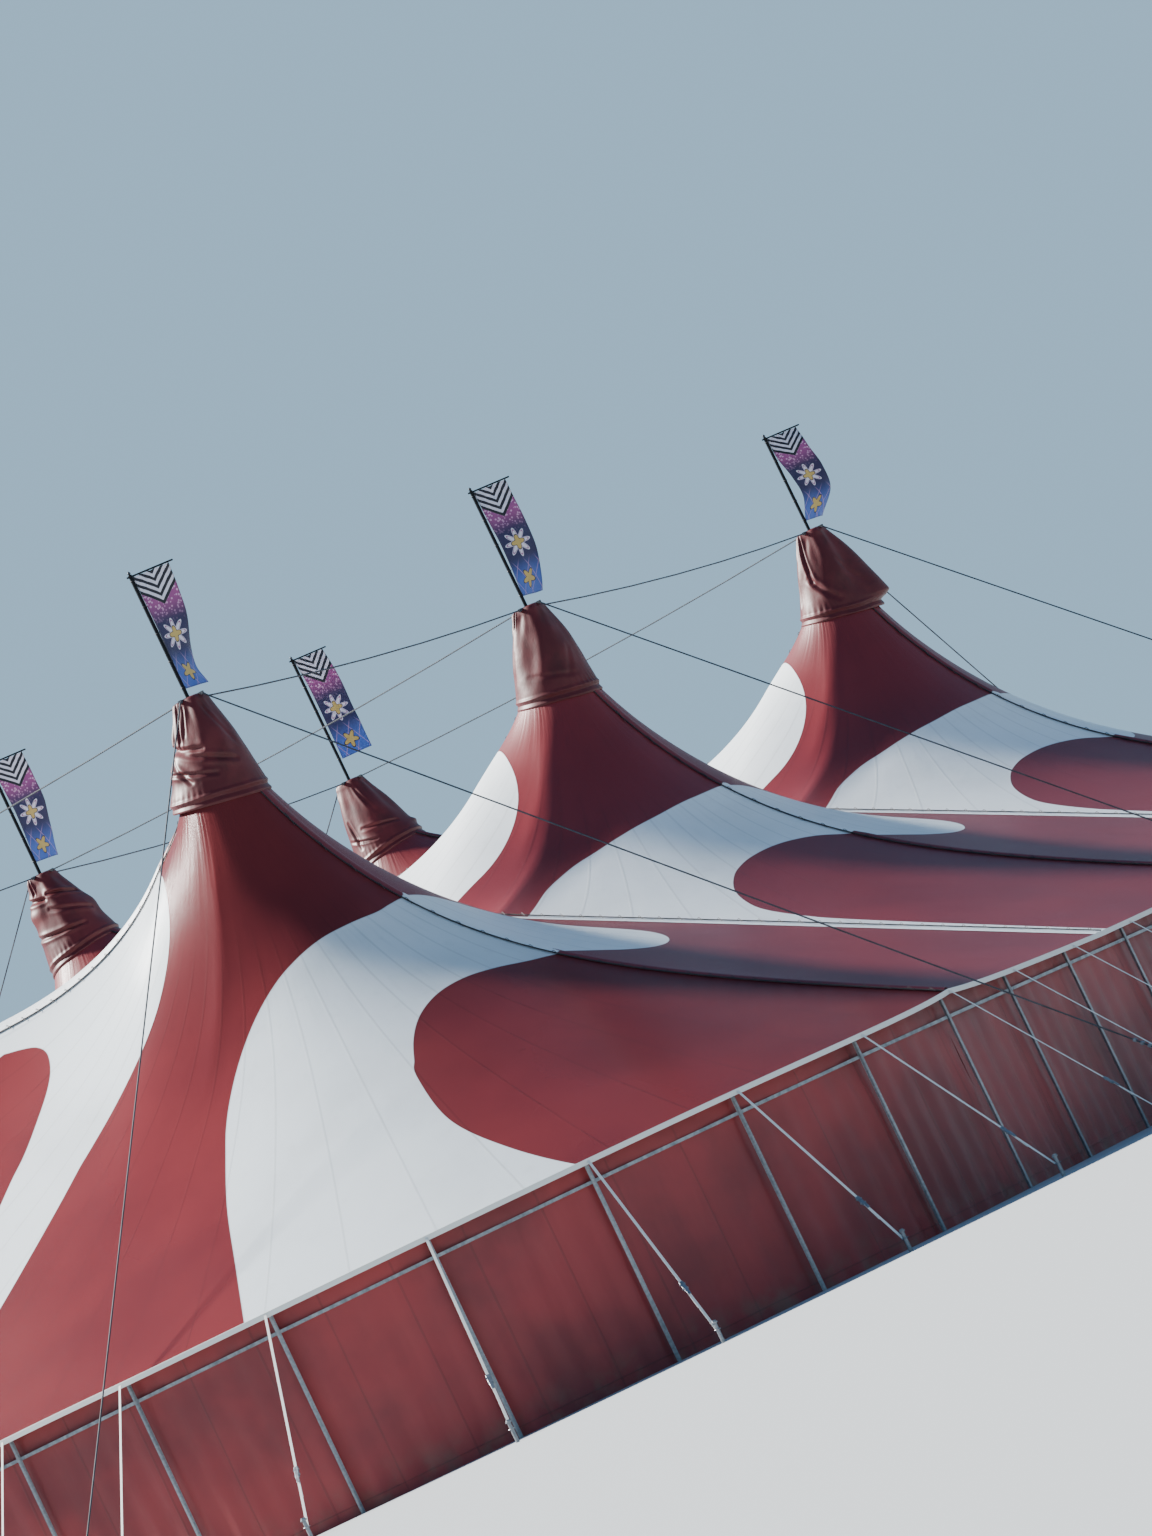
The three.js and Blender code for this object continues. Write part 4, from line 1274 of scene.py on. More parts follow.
    def build(self) -> None:
        """Makes the sheets, the flaps and the lacing."""
        for section in SECTIONS:
            surface = self.sheet(section)
            made = piece(section.name, surface, section.finish, (section.node,), self.cloth)
        for name, x in RIDGES.items():
            left, right = (s.lobes for s in SECTIONS if s.ridge == x)
            strips = [self.flap(x, y, (left, right), self.roll_rise) for y in self.seam_runs()]
            self.strip(f"ridge_flap_{name}", together(strips), x)
            edge = x - self.flap_half - self.rope_r
            ropes = [self.rope(edge, y) for y in self.seam_runs()]
            laces = [lace for y in self.seam_runs() for lace in self.laces(edge, y, self.ridge_lace)]
            piece(f"ridge_lacing_{name}", together(ropes + laces), LACING)
        eave = self.form.row_y + self.form.reach - self.seam_clear
        y = np.linspace(-eave, eave, self.valley_rows)
        for name, x in VALLEYS.items():
            strip = self.flap(x - self.valley_shift, y, (Lobes.TIP, Lobes.TIP), self.valley_rise)
            strip.numbers["lobe"] = np.full(len(strip.points), ALL_WHITE)
            self.strip(f"valley_flap_{name}", strip, x)
            edge = x + self.flap_half
            rope = [self.rope(edge, y), *self.laces(edge, y, self.valley_lace)]
            piece(f"valley_lacing_{name}", together(rope), LACING)

    def strip(self, name: str, surface: Surface, x: float) -> None:
        """Args:
            name: The flap's name.
            surface: Its surface.
            x: Where its seam is.
        """
        made = piece(name, surface, TENT_CLOTH, (), self.cloth / 2)


# Mast heads


@dataclass(frozen=True)
class Mast:
    """One king mast: its name and place, the top of its flagpole, the height of its flag, and how the flag hangs.

    At five even steps down, the flag turns by so many degrees from its gaff and stands so far off its pole.
    """

    name: str
    x: float
    y: float
    pole_top: float
    drop: float
    turn: tuple
    off: tuple
    seed: int


MASTS = (
    Mast("front_left", -14.0, -7.0, 18.1, 2.4, (0, 10, 24, 40, 37), (0, 0.01, 0.02, 0.02, 0), 3),
    Mast("front_middle", 0.0, -7.0, 18.2, 2.45, (0, 2, 4, 15, 36), (0, 0.02, 0.05, 0.04, 0.02), 5),
    Mast("front_right", 14.0, -7.0, 17.85, 2.1, (0, -14, -4, 8, 34), (0, 0.02, 0.15, 0.21, 0), 8),
    Mast("back_left", -14.0, 7.0, 18.1, 2.4, (0, 8, 20, 30, 26), (0, 0.02, 0.05, 0.04, 0), 13),
    Mast("back_middle", 0.0, 7.0, 18.2, 2.4, (0, 4, 12, 24, 32), (0, 0.03, 0.06, 0.04, 0), 21),
    Mast("back_right", 14.0, 7.0, 18.7, 2.65, (0, -5, -2, -6, -8), (0, 0.05, 0.06, 0.05, 0.04), 34),
)


CAP_R = 0.6  # the usual radius of a cap, by which lengths round it are told
FLARE_TOP = 15.33


def turned(angle: Array, way: float) -> Array:
    """Gives the angle from a way in degrees, between −π and π."""
    return np.angle(np.exp(1j * (angle - math.radians(way))))


@dataclass(frozen=True)
class Crease:
    """A fold line on a cap, from one place (degrees round, height) to another, with its depth and half width."""

    start: tuple[float, float]
    end: tuple[float, float]
    depth: float
    width: float

    def out(self, angle: Array, z: Array) -> Array:
        """Gives depth (t² − 1) exp(−t²/2), with t the distance from the line over the width: a valley with rims.

        Args:
            angle: The way round.
            z: The height.

        Returns:
            How far the cloth stands out.
        """
        start, end = np.array(self.start), np.array(self.end)
        x = turned(angle, (start[0] + end[0]) / 2) * CAP_R
        half = math.radians(end[0] - start[0]) * CAP_R / 2
        run = np.array([2 * half, end[1] - start[1]])
        along = ((x + half) * run[0] + (z - start[1]) * run[1]) / (run @ run)
        held = np.clip(along, 0, 1)
        t = np.hypot(x + half - held * run[0], z - start[1] - held * run[1]) / self.width
        fade = smooth_step(-0.25, 0.3, along) * (1 - smooth_step(0.75, 1.25, along))
        return self.depth * (t**2 - 1) * np.exp(-(t**2) / 2) * fade


@dataclass(frozen=True)
class Flare:
    """A corner of a cap that stands out more and more on its way down to a height, and then turns in to the hem."""

    way: float
    low: float
    size: float
    spread: float

    def out(self, angle: Array, z: Array) -> Array:
        """Gives size exp(−(turn / spread)²) times the share of the way down, less most of it below the low height.

        Args:
            angle: The way round.
            z: The height.

        Returns:
            How far the cloth stands out.
        """
        turn = turned(angle, self.way) / math.radians(self.spread)
        down = np.clip((FLARE_TOP - z) / (FLARE_TOP - self.low), 0, 1) ** 0.9
        return self.size * np.exp(-(turn**2)) * down * (0.3 + 0.7 * smooth_step(-0.2, 0.0, z - self.low))


@dataclass(frozen=True)
class Bulge:
    """A soft swelling of a cap, or a dent where its size is below 0, with its place and its spread round and up."""

    way: float
    z: float
    size: float
    spread: float
    tall: float

    def out(self, angle: Array, z: Array) -> Array:
        """Gives size exp(−(turn / spread)² − (height / tall)²).

        Args:
            angle: The way round.
            z: The height.

        Returns:
            How far the cloth stands out.
        """
        turn = turned(angle, self.way) / math.radians(self.spread)
        return self.size * np.exp(-(turn**2) - ((z - self.z) / self.tall) ** 2)


DRAPES: dict[str, tuple[Crease | Flare | Bulge, ...]] = {
    "front_left": (
        Crease((126, 15.4), (142, 14.62), 0.035, 0.045), Crease((152, 15.4), (160, 14.6), 0.032, 0.042),
        Crease((178, 15.3), (172, 14.75), 0.018, 0.045), Crease((118, 14.62), (205, 14.42), 0.05, 0.055),
        Crease((150, 14.5), (250, 14.05), 0.035, 0.05), Crease((135, 14.42), (175, 13.85), 0.035, 0.04),
        Crease((120, 14.2), (215, 13.9), 0.03, 0.04), Crease((235, 15.3), (270, 14.3), 0.012, 0.06),
        Bulge(135, 14.15, 0.09, 32, 0.22), Bulge(130, 14.58, -0.06, 28, 0.12), Bulge(255, 14.4, 0.05, 40, 0.5),
        Bulge(122, 13.55, 0.13, 50, 0.4),
    ),
    "front_middle": (
        Crease((120, 15.47), (128, 15.0), 0.05, 0.035), Crease((150, 15.5), (142, 15.1), 0.03, 0.035),
        Crease((140, 14.6), (132, 13.85), 0.01, 0.05), Crease((260, 14.4), (235, 13.8), 0.012, 0.06),
        Crease((170, 14.0), (250, 13.8), 0.01, 0.05),
        Bulge(290, 14.5, 0.05, 50, 0.55), Bulge(120, 14.3, 0.02, 30, 0.5),
    ),
    "front_right": (
        Crease((122, 15.47), (128, 14.9), 0.05, 0.04), Crease((145, 15.46), (175, 14.3), 0.04, 0.05),
        Crease((165, 14.4), (215, 13.75), 0.035, 0.06), Crease((130, 14.5), (136, 13.8), 0.025, 0.04),
        Crease((240, 14.6), (275, 13.9), 0.014, 0.06), Flare(298, 13.66, 0.4, 27),
        Bulge(125, 14.1, -0.03, 30, 0.4),
    ),
    "back_right": (
        Crease((118, 15.44), (125, 15.05), 0.07, 0.05), Crease((150, 14.5), (165, 13.8), 0.03, 0.04),
        Crease((180, 14.2), (250, 13.95), 0.03, 0.04), Crease((210, 15.2), (225, 14.4), 0.02, 0.05),
        Crease((140, 14.1), (200, 13.78), 0.025, 0.03), Bulge(300, 13.8, 0.06, 18, 0.08),
        Bulge(120, 14.6, 0.02, 30, 0.4),
    ),
    "back_middle": (
        Crease((118, 14.98), (190, 14.86), 0.06, 0.05), Crease((200, 14.95), (285, 14.75), 0.055, 0.045),
        Crease((120, 14.2), (235, 13.9), 0.045, 0.045), Crease((150, 15.4), (160, 15.05), 0.04, 0.04),
        Crease((190, 14.6), (270, 14.2), 0.03, 0.05),
        Bulge(135, 14.65, 0.06, 40, 0.17), Bulge(280, 14.4, 0.09, 40, 0.25),
    ),
    "back_left": (
        Crease((130, 15.45), (150, 14.7), 0.04, 0.035), Crease((220, 15.4), (205, 14.5), 0.025, 0.05),
        Crease((140, 14.3), (220, 14.05), 0.035, 0.045), Crease((300, 15.3), (310, 14.4), 0.03, 0.05),
        Bulge(200, 14.2, 0.05, 45, 0.3),
    ),
}


@dataclass(frozen=True)
class WeatherCap:
    """The cover over a mast head and its ring: square at the top, flaring down to a rolled hem above the ring."""

    profile: tuple = ((13.35, 0.908, 2.0), (13.62, 0.872, 2.0), (14.12, 0.71, 2.4), (14.74, 0.52, 3.2),
                      (15.18, 0.365, 3.8), (15.34, 0.32, 4.0), (15.416, 0.29, 4.0), (15.44, 0.25, 4.0))
    form: RoofForm = RoofForm()
    around: int = 240
    rows: int = 165
    lid_rows: int = 12
    pole_r: float = 0.0406
    lean_top: float = 15.34
    cloth: float = 0.003
    long_folds: tuple = (4, 7, 9)
    fold_size: float = 0.004
    dent_size: float = 0.006
    wobble_size: float = 0.012
    pucker_size: float = 0.006
    pucker_z: float = 13.62
    rolls: tuple = ((13.385, 0.02, 0.034), (13.545, 0.024, 0.036), (13.465, -0.012, 0.022))
    flat_around: float = 0.98
    flat_down: float = 2.6

    def folds(self, angle: Array, z: Array, mast: Mast) -> Array:
        """Gives how far the cloth stands out from its smooth flare.

        The mast's own creases, bulges and flare come first. Faint long folds, chance dents, puckers over the hem and
        the hem itself, two rolls with a cord's groove between them, are added to them.

        Args:
            angle: The way round.
            z: The height before the tilt.
            mast: The mast under the cap.

        Returns:
            The distance out.
        """
        total = np.zeros(angle.shape)
        for drape in DRAPES[mast.name]:
            total += drape.out(angle, z)
        rng = np.random.default_rng(mast.seed)
        middle = smooth_step(13.66, 14.0, z) * (1 - smooth_step(15.2, 15.4, z))
        for count in self.long_folds:
            lean, phase = rng.uniform(-0.5, 0.5), rng.uniform(0, TURN)
            total += self.fold_size * np.sin(count * (angle + lean * (z - 14)) + phase) * middle
        total += self.dent_size * waves(angle * 1.2, z, 0.7, 12, mast.seed) * middle
        wobble = self.wobble_size * waves(angle * 0.9, np.zeros_like(angle), 1.1, 6, mast.seed + 2)
        puckers = np.sin(34 * angle + 4 * np.sin(3 * angle + mast.seed)) * (0.5 + 0.5 * np.sin(2 * angle + mast.seed))
        total += self.pucker_size * puckers * np.exp(-np.abs(z - self.pucker_z) / 0.09)
        for centre, size, width in self.rolls:
            total += size * np.exp(-(((z - centre - wobble) / width) ** 2))
        return total

    def surface(self, mast: Mast) -> Surface:
        """Turns the profile round the mast: at angle a the radius is half / (|cos a|^p + |sin a|^p)^(1/p) + folds.

        Towards the hem its middle moves with the ring's and its plane tilts with the ring's. A flat lid closes the
        top but for the hole.

        Args:
            mast: The mast under the cap.

        Returns:
            The cap from its hem to the hole for the flagpole.
        """
        smooth = spline(np.array(self.profile), 24)
        share = np.linspace(0, 1, self.rows)
        z = np.interp(share, np.linspace(0, 1, len(smooth)), smooth[:, 0])
        half = np.interp(z, smooth[:, 0], smooth[:, 1])[:, None]
        power = np.interp(z, smooth[:, 0], smooth[:, 2])[:, None]
        angle = (np.arange(self.around) * TURN / self.around)[None]
        c, s = np.abs(np.cos(angle)), np.abs(np.sin(angle))
        radius = half / (c**power + s**power) ** (1 / power)
        zz = np.broadcast_to(z[:, None], radius.shape)
        aa = np.broadcast_to(angle, radius.shape)
        radius = radius + self.folds(aa, zz, mast)
        rim = radius[-1]
        steps = np.linspace(1, 0, self.lid_rows)[1:, None]
        top = self.pole_r + (rim[None] - self.pole_r) * steps
        radius = np.vstack([radius, top])
        zz = np.vstack([zz, np.full(top.shape, self.profile[-1][0])])
        aa = np.broadcast_to(angle, radius.shape)
        inward = -math.copysign(1, mast.y)
        lean = np.clip((self.lean_top - zz) / (self.lean_top - self.profile[0][0]), 0, 1)
        lift = self.form.ring_tilt * lean * radius * np.sin(aa) * inward
        x = mast.x + radius * np.cos(aa)
        y = mast.y + inward * self.form.ring_shift * lean + radius * np.sin(aa)
        points = np.stack([x, y, zz + lift], -1).reshape(-1, 3)
        slant = np.vstack([zz[:-len(steps)], self.profile[-1][0] + (rim[None] - top)])
        uv = np.stack([aa * CAP_R * SCALE, slant * SCALE], -1).reshape(-1, 2)

        def out(centres: Array) -> Array:
            """Looks away from a point low inside the cap."""
            return centres - np.array([mast.x, mast.y, 14.0])

        return Surface(points, [grid_faces(len(radius), self.around, True)], uv).facing(out)

    def build(self, mast: Mast) -> None:
        """Args:
            mast: The mast.
        """
        surface = self.surface(mast)
        made = piece(f"weather_cap_{mast.name}", surface, CAP_CLOTH, (f"cap_{mast.name}",), self.cloth)
        area = surface.area()


@dataclass(frozen=True)
class Flag:
    """A tall flag between its pole and its gaff."""

    pole_r: float = 0.04
    gaff_r: float = 0.018
    width: float = 0.79
    heading: float = -40.0
    ripple: float = 0.026
    curl: float = 0.05
    curl_start: float = 0.82
    sag: float = 0.012
    gathers: int = 5
    cloth: float = 0.0015
    rows: int = 120
    columns: int = 48
    ties: tuple = (0.03, 0.26, 0.5, 0.75, 0.985)
    tie_start: float = 0.06
    tie_r: float = 0.008
    tie_sides: int = 12
    finial: tuple = (0.011, 0.0275, 0.0341, 0.03025, 0.0165, 0.0022)
    finial_height: float = 0.08

    def surface(self, mast: Mast) -> Surface:
        """Turns a straight line about the pole on its way down: out(a) · heading(d), with ripples that grow outwards.

        The turn and the distance off the pole are smooth curves through the mast's own five values. The lower corner
        curls, and the top edge sags in gathers under the gaff.

        Args:
            mast: The mast that the flag flies from.

        Returns:
            The flag, with its cut plan as (share from the pole, share down).
        """
        down, along = np.meshgrid(np.linspace(0, 1, self.rows), np.linspace(0, 1, self.columns), indexing="ij")
        held = spline(np.column_stack([mast.turn, mast.off]))
        steps = np.linspace(0, 1, len(held))
        way = np.radians(self.heading + np.interp(down, steps, held[:, 0]))
        out = self.pole_r + GAP + np.interp(down, steps, held[:, 1]) + along * self.width
        free = along * np.minimum(down * 4, 1)
        off = self.ripple * free * np.sin(along * 6.5 + down * 5.0 + mast.seed)
        off = off + 0.5 * self.ripple * free * np.sin(down * 19 - along * 6 + mast.seed)
        off = off + self.curl * along**2 * smooth_step(self.curl_start, 1.0, down) * math.cos(mast.seed)
        x = mast.x + np.cos(way) * out - np.sin(way) * off
        y = mast.y + np.sin(way) * out + np.cos(way) * off
        top = mast.pole_top - 3 * self.gaff_r - GAP
        sag = self.sag * np.sin(math.pi * along * self.gathers) ** 2 * (1 - down) ** 6
        points = np.stack([x, y, top - sag - down * mast.drop], -1).reshape(-1, 3)
        uv = np.stack([along, down], -1).reshape(-1, 2)
        front = (math.cos(math.radians(self.heading - 90)), math.sin(math.radians(self.heading - 90)), 0.0)
        return Surface(points, [grid_faces(self.rows, self.columns)], uv).facing(front)

    def build(self, mast: Mast) -> None:
        """Makes the flag of one mast, with the ties that hold it to its pole, and the pole's finial.

        Args:
            mast: The mast.
        """
        surface = self.surface(mast)
        made = piece(f"banner_{mast.name}", surface, FLAG_PRINT, (f"flag_{mast.name}",), self.cloth)
        made = []
        ring = disc(self.pole_r + self.tie_r, self.tie_sides)
        for share in self.ties:
            z = mast.pole_top - self.tie_start - share * mast.drop
            path = np.column_stack([mast.x + ring[:, 0], mast.y + ring[:, 1], np.full(len(ring), z)])
            made.append(sweep(np.vstack([path, path[:1] + (0, 0, self.tie_r / 2)]), disc(self.tie_r, 5)))
        top = np.array([mast.x, mast.y, mast.pole_top])
        stack = np.linspace(top, top + (0, 0, self.finial_height), len(self.finial))
        made.append(sweep(stack, disc(1.0, 12), self.finial))
        piece(f"flag_ties_{mast.name}", together(made), DARK_STEEL)


@dataclass(frozen=True)
class Rigging:
    """Cables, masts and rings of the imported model, with the turnbuckles and grips that tension the stays."""

    stay_reach: float = 16.35
    start: float = 0.33
    start_z: float = 15.4156
    foot_z: float = 0.3
    bosses: tuple = (0.45, 0.6, 1.15, 1.3)
    boss_r: float = 0.045
    bar_r: float = 0.016
    bar_off: float = 0.035
    bar_overlap: float = 0.05
    grips: tuple = (1.6, 1.75, 1.9)
    grip: tuple = (0.09, 0.06, 0.012)
    grip_half: float = 0.03

    def stays(self) -> list[tuple[Point, Point]]:
        """Gives the storm stays: one out from each mast's row, and one out from each end mast along it.

        Returns:
            The top and the foot of each.
        """
        made = []
        for mast in MASTS:
            ways = [(0.0, math.copysign(1, mast.y))] + ([(math.copysign(1, mast.x), 0.0)] if mast.x else [])
            for ox, oy in ways:
                top = (mast.x + ox * self.start, mast.y + oy * self.start, self.start_z)
                foot = (mast.x + ox * self.stay_reach, mast.y + oy * self.stay_reach, self.foot_z)
                made.append((top, foot))
        return made

    def turnbuckle(self, top: Point, foot: Point) -> list[Surface]:
        """Lays a turnbuckle on a stay near its foot: an open body of two bars between two bosses, and three grips.

        Args:
            top: The stay's top.
            foot: Its foot.

        Returns:
            The closed surfaces of the turnbuckle.
        """
        top, foot = np.array(top), np.array(foot)
        way = (top - foot) / np.linalg.norm(top - foot)
        side = np.cross(way, UP)
        side /= np.linalg.norm(side)
        low, low_end, high, high_end = (foot + way * d for d in self.bosses)
        made = [rod(low, low_end, self.boss_r, 10), rod(high, high_end, self.boss_r, 10)]
        into = way * self.bar_overlap
        for off in (-self.bar_off, self.bar_off):
            made.append(rod(low_end - into + side * off, high + into + side * off, self.bar_r, 8))
        for d in self.grips:
            middle, half = foot + way * d, way * self.grip_half
            made.append(sweep(np.linspace(middle - half, middle + half, 2), oblong(*self.grip)))
        return made

    def build(self) -> None:
        """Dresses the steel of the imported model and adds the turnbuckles."""
        MAST_STEEL.dress(*(f"king_mast_{m.name}" for m in MASTS))
        GALVANISED.dress(*(f"cupola_ring_{m.name}" for m in MASTS))
        WIRE_ROPE.dress("mast_head_cables")
        parts = [s for top, foot in self.stays() for s in self.turnbuckle(top, foot)]
        piece("stay_turnbuckles", together(parts), GALVANISED)


# Sides


class Side(Enum):
    """A side of the tent, as its pieces are named."""

    FRONT = "front"
    BACK = "back"
    LEFT = "left"
    RIGHT = "right"


@dataclass(frozen=True)
class SidePlan:
    """The path round the tent, out from the rectangle of masts."""

    bay: float = 14.0
    row_y: float = 7.0
    reach: float = 12.0
    span: float = 2.8
    half_posts: int = 5
    corner_step: int = 15
    end_posts: int = 4
    door_half: float = 2.8

    def posts(self, side: Side) -> Array:
        """Gives the posts of a side, as places (x, y) on the mast rectangle and the way out (x, y) from there.

        Args:
            side: The side.

        Returns:
            Four numbers for each post, in order along the side.
        """
        if side in (Side.FRONT, Side.BACK):
            sign = -1 if side is Side.FRONT else 1
            x = np.arange(-self.half_posts, self.half_posts + 1) * self.span
            x = x[np.abs(x) > self.door_half - TINY] if side is Side.FRONT else x
            flat = np.zeros(len(x))
            return np.column_stack([x, flat + sign * self.row_y, flat, flat + sign])
        sign = -1 if side is Side.LEFT else 1
        angle = np.radians(np.arange(90 - self.corner_step, -1, -self.corner_step))
        ray = np.column_stack([np.cos(angle), -np.sin(angle)])
        corner = np.column_stack([np.tile((self.bay, -self.row_y), (len(angle), 1)), ray])
        y = (np.arange(self.end_posts) - (self.end_posts - 1) / 2) * self.span
        straight = np.column_stack([np.full(len(y), self.bay), y, np.ones(len(y)), np.zeros(len(y))])
        whole = np.vstack([corner, straight, corner[::-1] * (1, -1, 1, -1)])
        return whole * (sign, 1, sign, 1)

    def walk(self, start: float, end: float, line: float, step: float) -> tuple[Array, Array, Array]:
        """Walks round the tent at a distance out from the mast rectangle, from one share of the way to another.

        Args:
            start: Metres from the middle of the front, anticlockwise, at the path's start.
            end: Metres at its end.
            line: The distance out.
            step: The wanted distance between stations.

        Returns:
            The stations' metres, their places (x, y) and the way out (x, y) at each.
        """
        quarter = line * math.pi / 2
        lengths = [self.bay, quarter, 2 * self.row_y, quarter, 2 * self.bay, quarter, 2 * self.row_y, quarter, self.bay]
        marks = np.concatenate([[0], np.cumsum(lengths)])
        s = np.linspace(start, end, max(int(abs(end - start) / step), 2) + 1)
        around = np.mod(s, marks[-1])
        way = np.interp(around, marks, [-90, -90, 0, 0, 90, 90, 180, 180, 270, 270])
        b, r = self.bay, self.row_y
        core_x = np.interp(around, marks, [0, b, b, b, b, -b, -b, -b, -b, 0])
        core_y = np.interp(around, marks, [-r, -r, -r, r, r, r, r, -r, -r, -r])
        out = np.column_stack([np.cos(np.radians(way)), np.sin(np.radians(way))])
        return s, np.column_stack([core_x, core_y]) + out * line, out


@dataclass(frozen=True)
class CurtainWall:
    """The walls: cloth hung in soft folds from the roof's edge to the ground, open at the entrance."""

    plan: SidePlan = SidePlan()
    form: RoofForm = RoofForm()
    line: float = 11.645
    cloth: float = 0.003
    step: float = 0.09
    rows: int = 26
    rows_over_door: int = 10
    under_roof: float = 0.06
    fold: float = 0.03
    fold_pitch: float = 0.56
    fold_drift: float = 1.3
    held_share: float = 0.15
    dents: float = 0.014
    dent_pitch: float = 1.7
    door_top: float = 2.9

    def strip(self, start: float, end: float, bottom: float, seed: int) -> Surface:
        """Hangs a wall: out = line + fold · sin(metres / pitch) · (1 − share up)^0.6, and chance dents.

        The folds drift in pitch, and a small share of them is left at the rail.

        Args:
            start: Where it starts, in metres along the wall from the middle of the front.
            end: Where it ends.
            bottom: The height of its hem.
            seed: Starts the draws of its unevenness.

        Returns:
            The wall, with its cut plan in the model's metres.
        """
        s, at, out = self.plan.walk(start, end, self.line, self.step)
        rows = self.rows if bottom == 0 else self.rows_over_door
        up = np.linspace(0, 1, rows)[:, None]
        top = self.form.height(at[:, 0], at[:, 1], False) - self.under_roof
        z = bottom + (top[None] - bottom) * up
        fade = (1 - up) ** 0.6 * (1 - self.held_share) + self.held_share
        phase = s[None] * TURN / self.fold_pitch + self.fold_drift * np.sin(s[None] * 0.9)
        push = self.fold * np.sin(phase) * fade
        push = push + self.dents * waves(s[None] + 0 * z, z * 1.3, self.dent_pitch, 7, seed) * fade
        x = at[None, :, 0] + out[None, :, 0] * push
        y = at[None, :, 1] + out[None, :, 1] * push
        points = np.stack([x, y, z], -1).reshape(-1, 3)
        uv = np.stack(np.broadcast_arrays(s[None] * SCALE, z * SCALE), -1).reshape(-1, 2)

        def outwards(centres: Array) -> Array:
            """Looks away from the middle of the tent."""
            return centres * np.array([1, 1, 0])

        return Surface(points, [grid_faces(rows, len(s))], uv).facing(outwards)

    def build(self) -> None:
        """Makes the six walls."""
        bay, quarter = self.plan.bay, self.line * math.pi / 2
        corner_end = bay + 2 * quarter + 2 * self.plan.row_y
        half = corner_end + bay
        gap = 2 * GAP
        door = self.plan.door_half
        walls = (
            ("front_right", door + gap, bay - gap, 0.0),
            ("right_end", bay + gap, corner_end - gap, 0.0),
            ("back", corner_end + gap, half + bay - gap, 0.0),
            ("left_end", half + bay + gap, 2 * half - bay - gap, 0.0),
            ("front_left", 2 * half - bay + gap, 2 * half - door - gap, 0.0),
            ("over_entrance", 2 * half - door + gap, 2 * half + door - gap, self.door_top),
        )
        for seed, (name, start, end, bottom) in enumerate(walls):
            surface = self.strip(start, end, bottom, seed)
            made = piece(f"curtain_{name}", surface, WALL_CLOTH, (f"wall_{name}",), self.cloth)
            long, area = (end - start) * SCALE, surface.area()


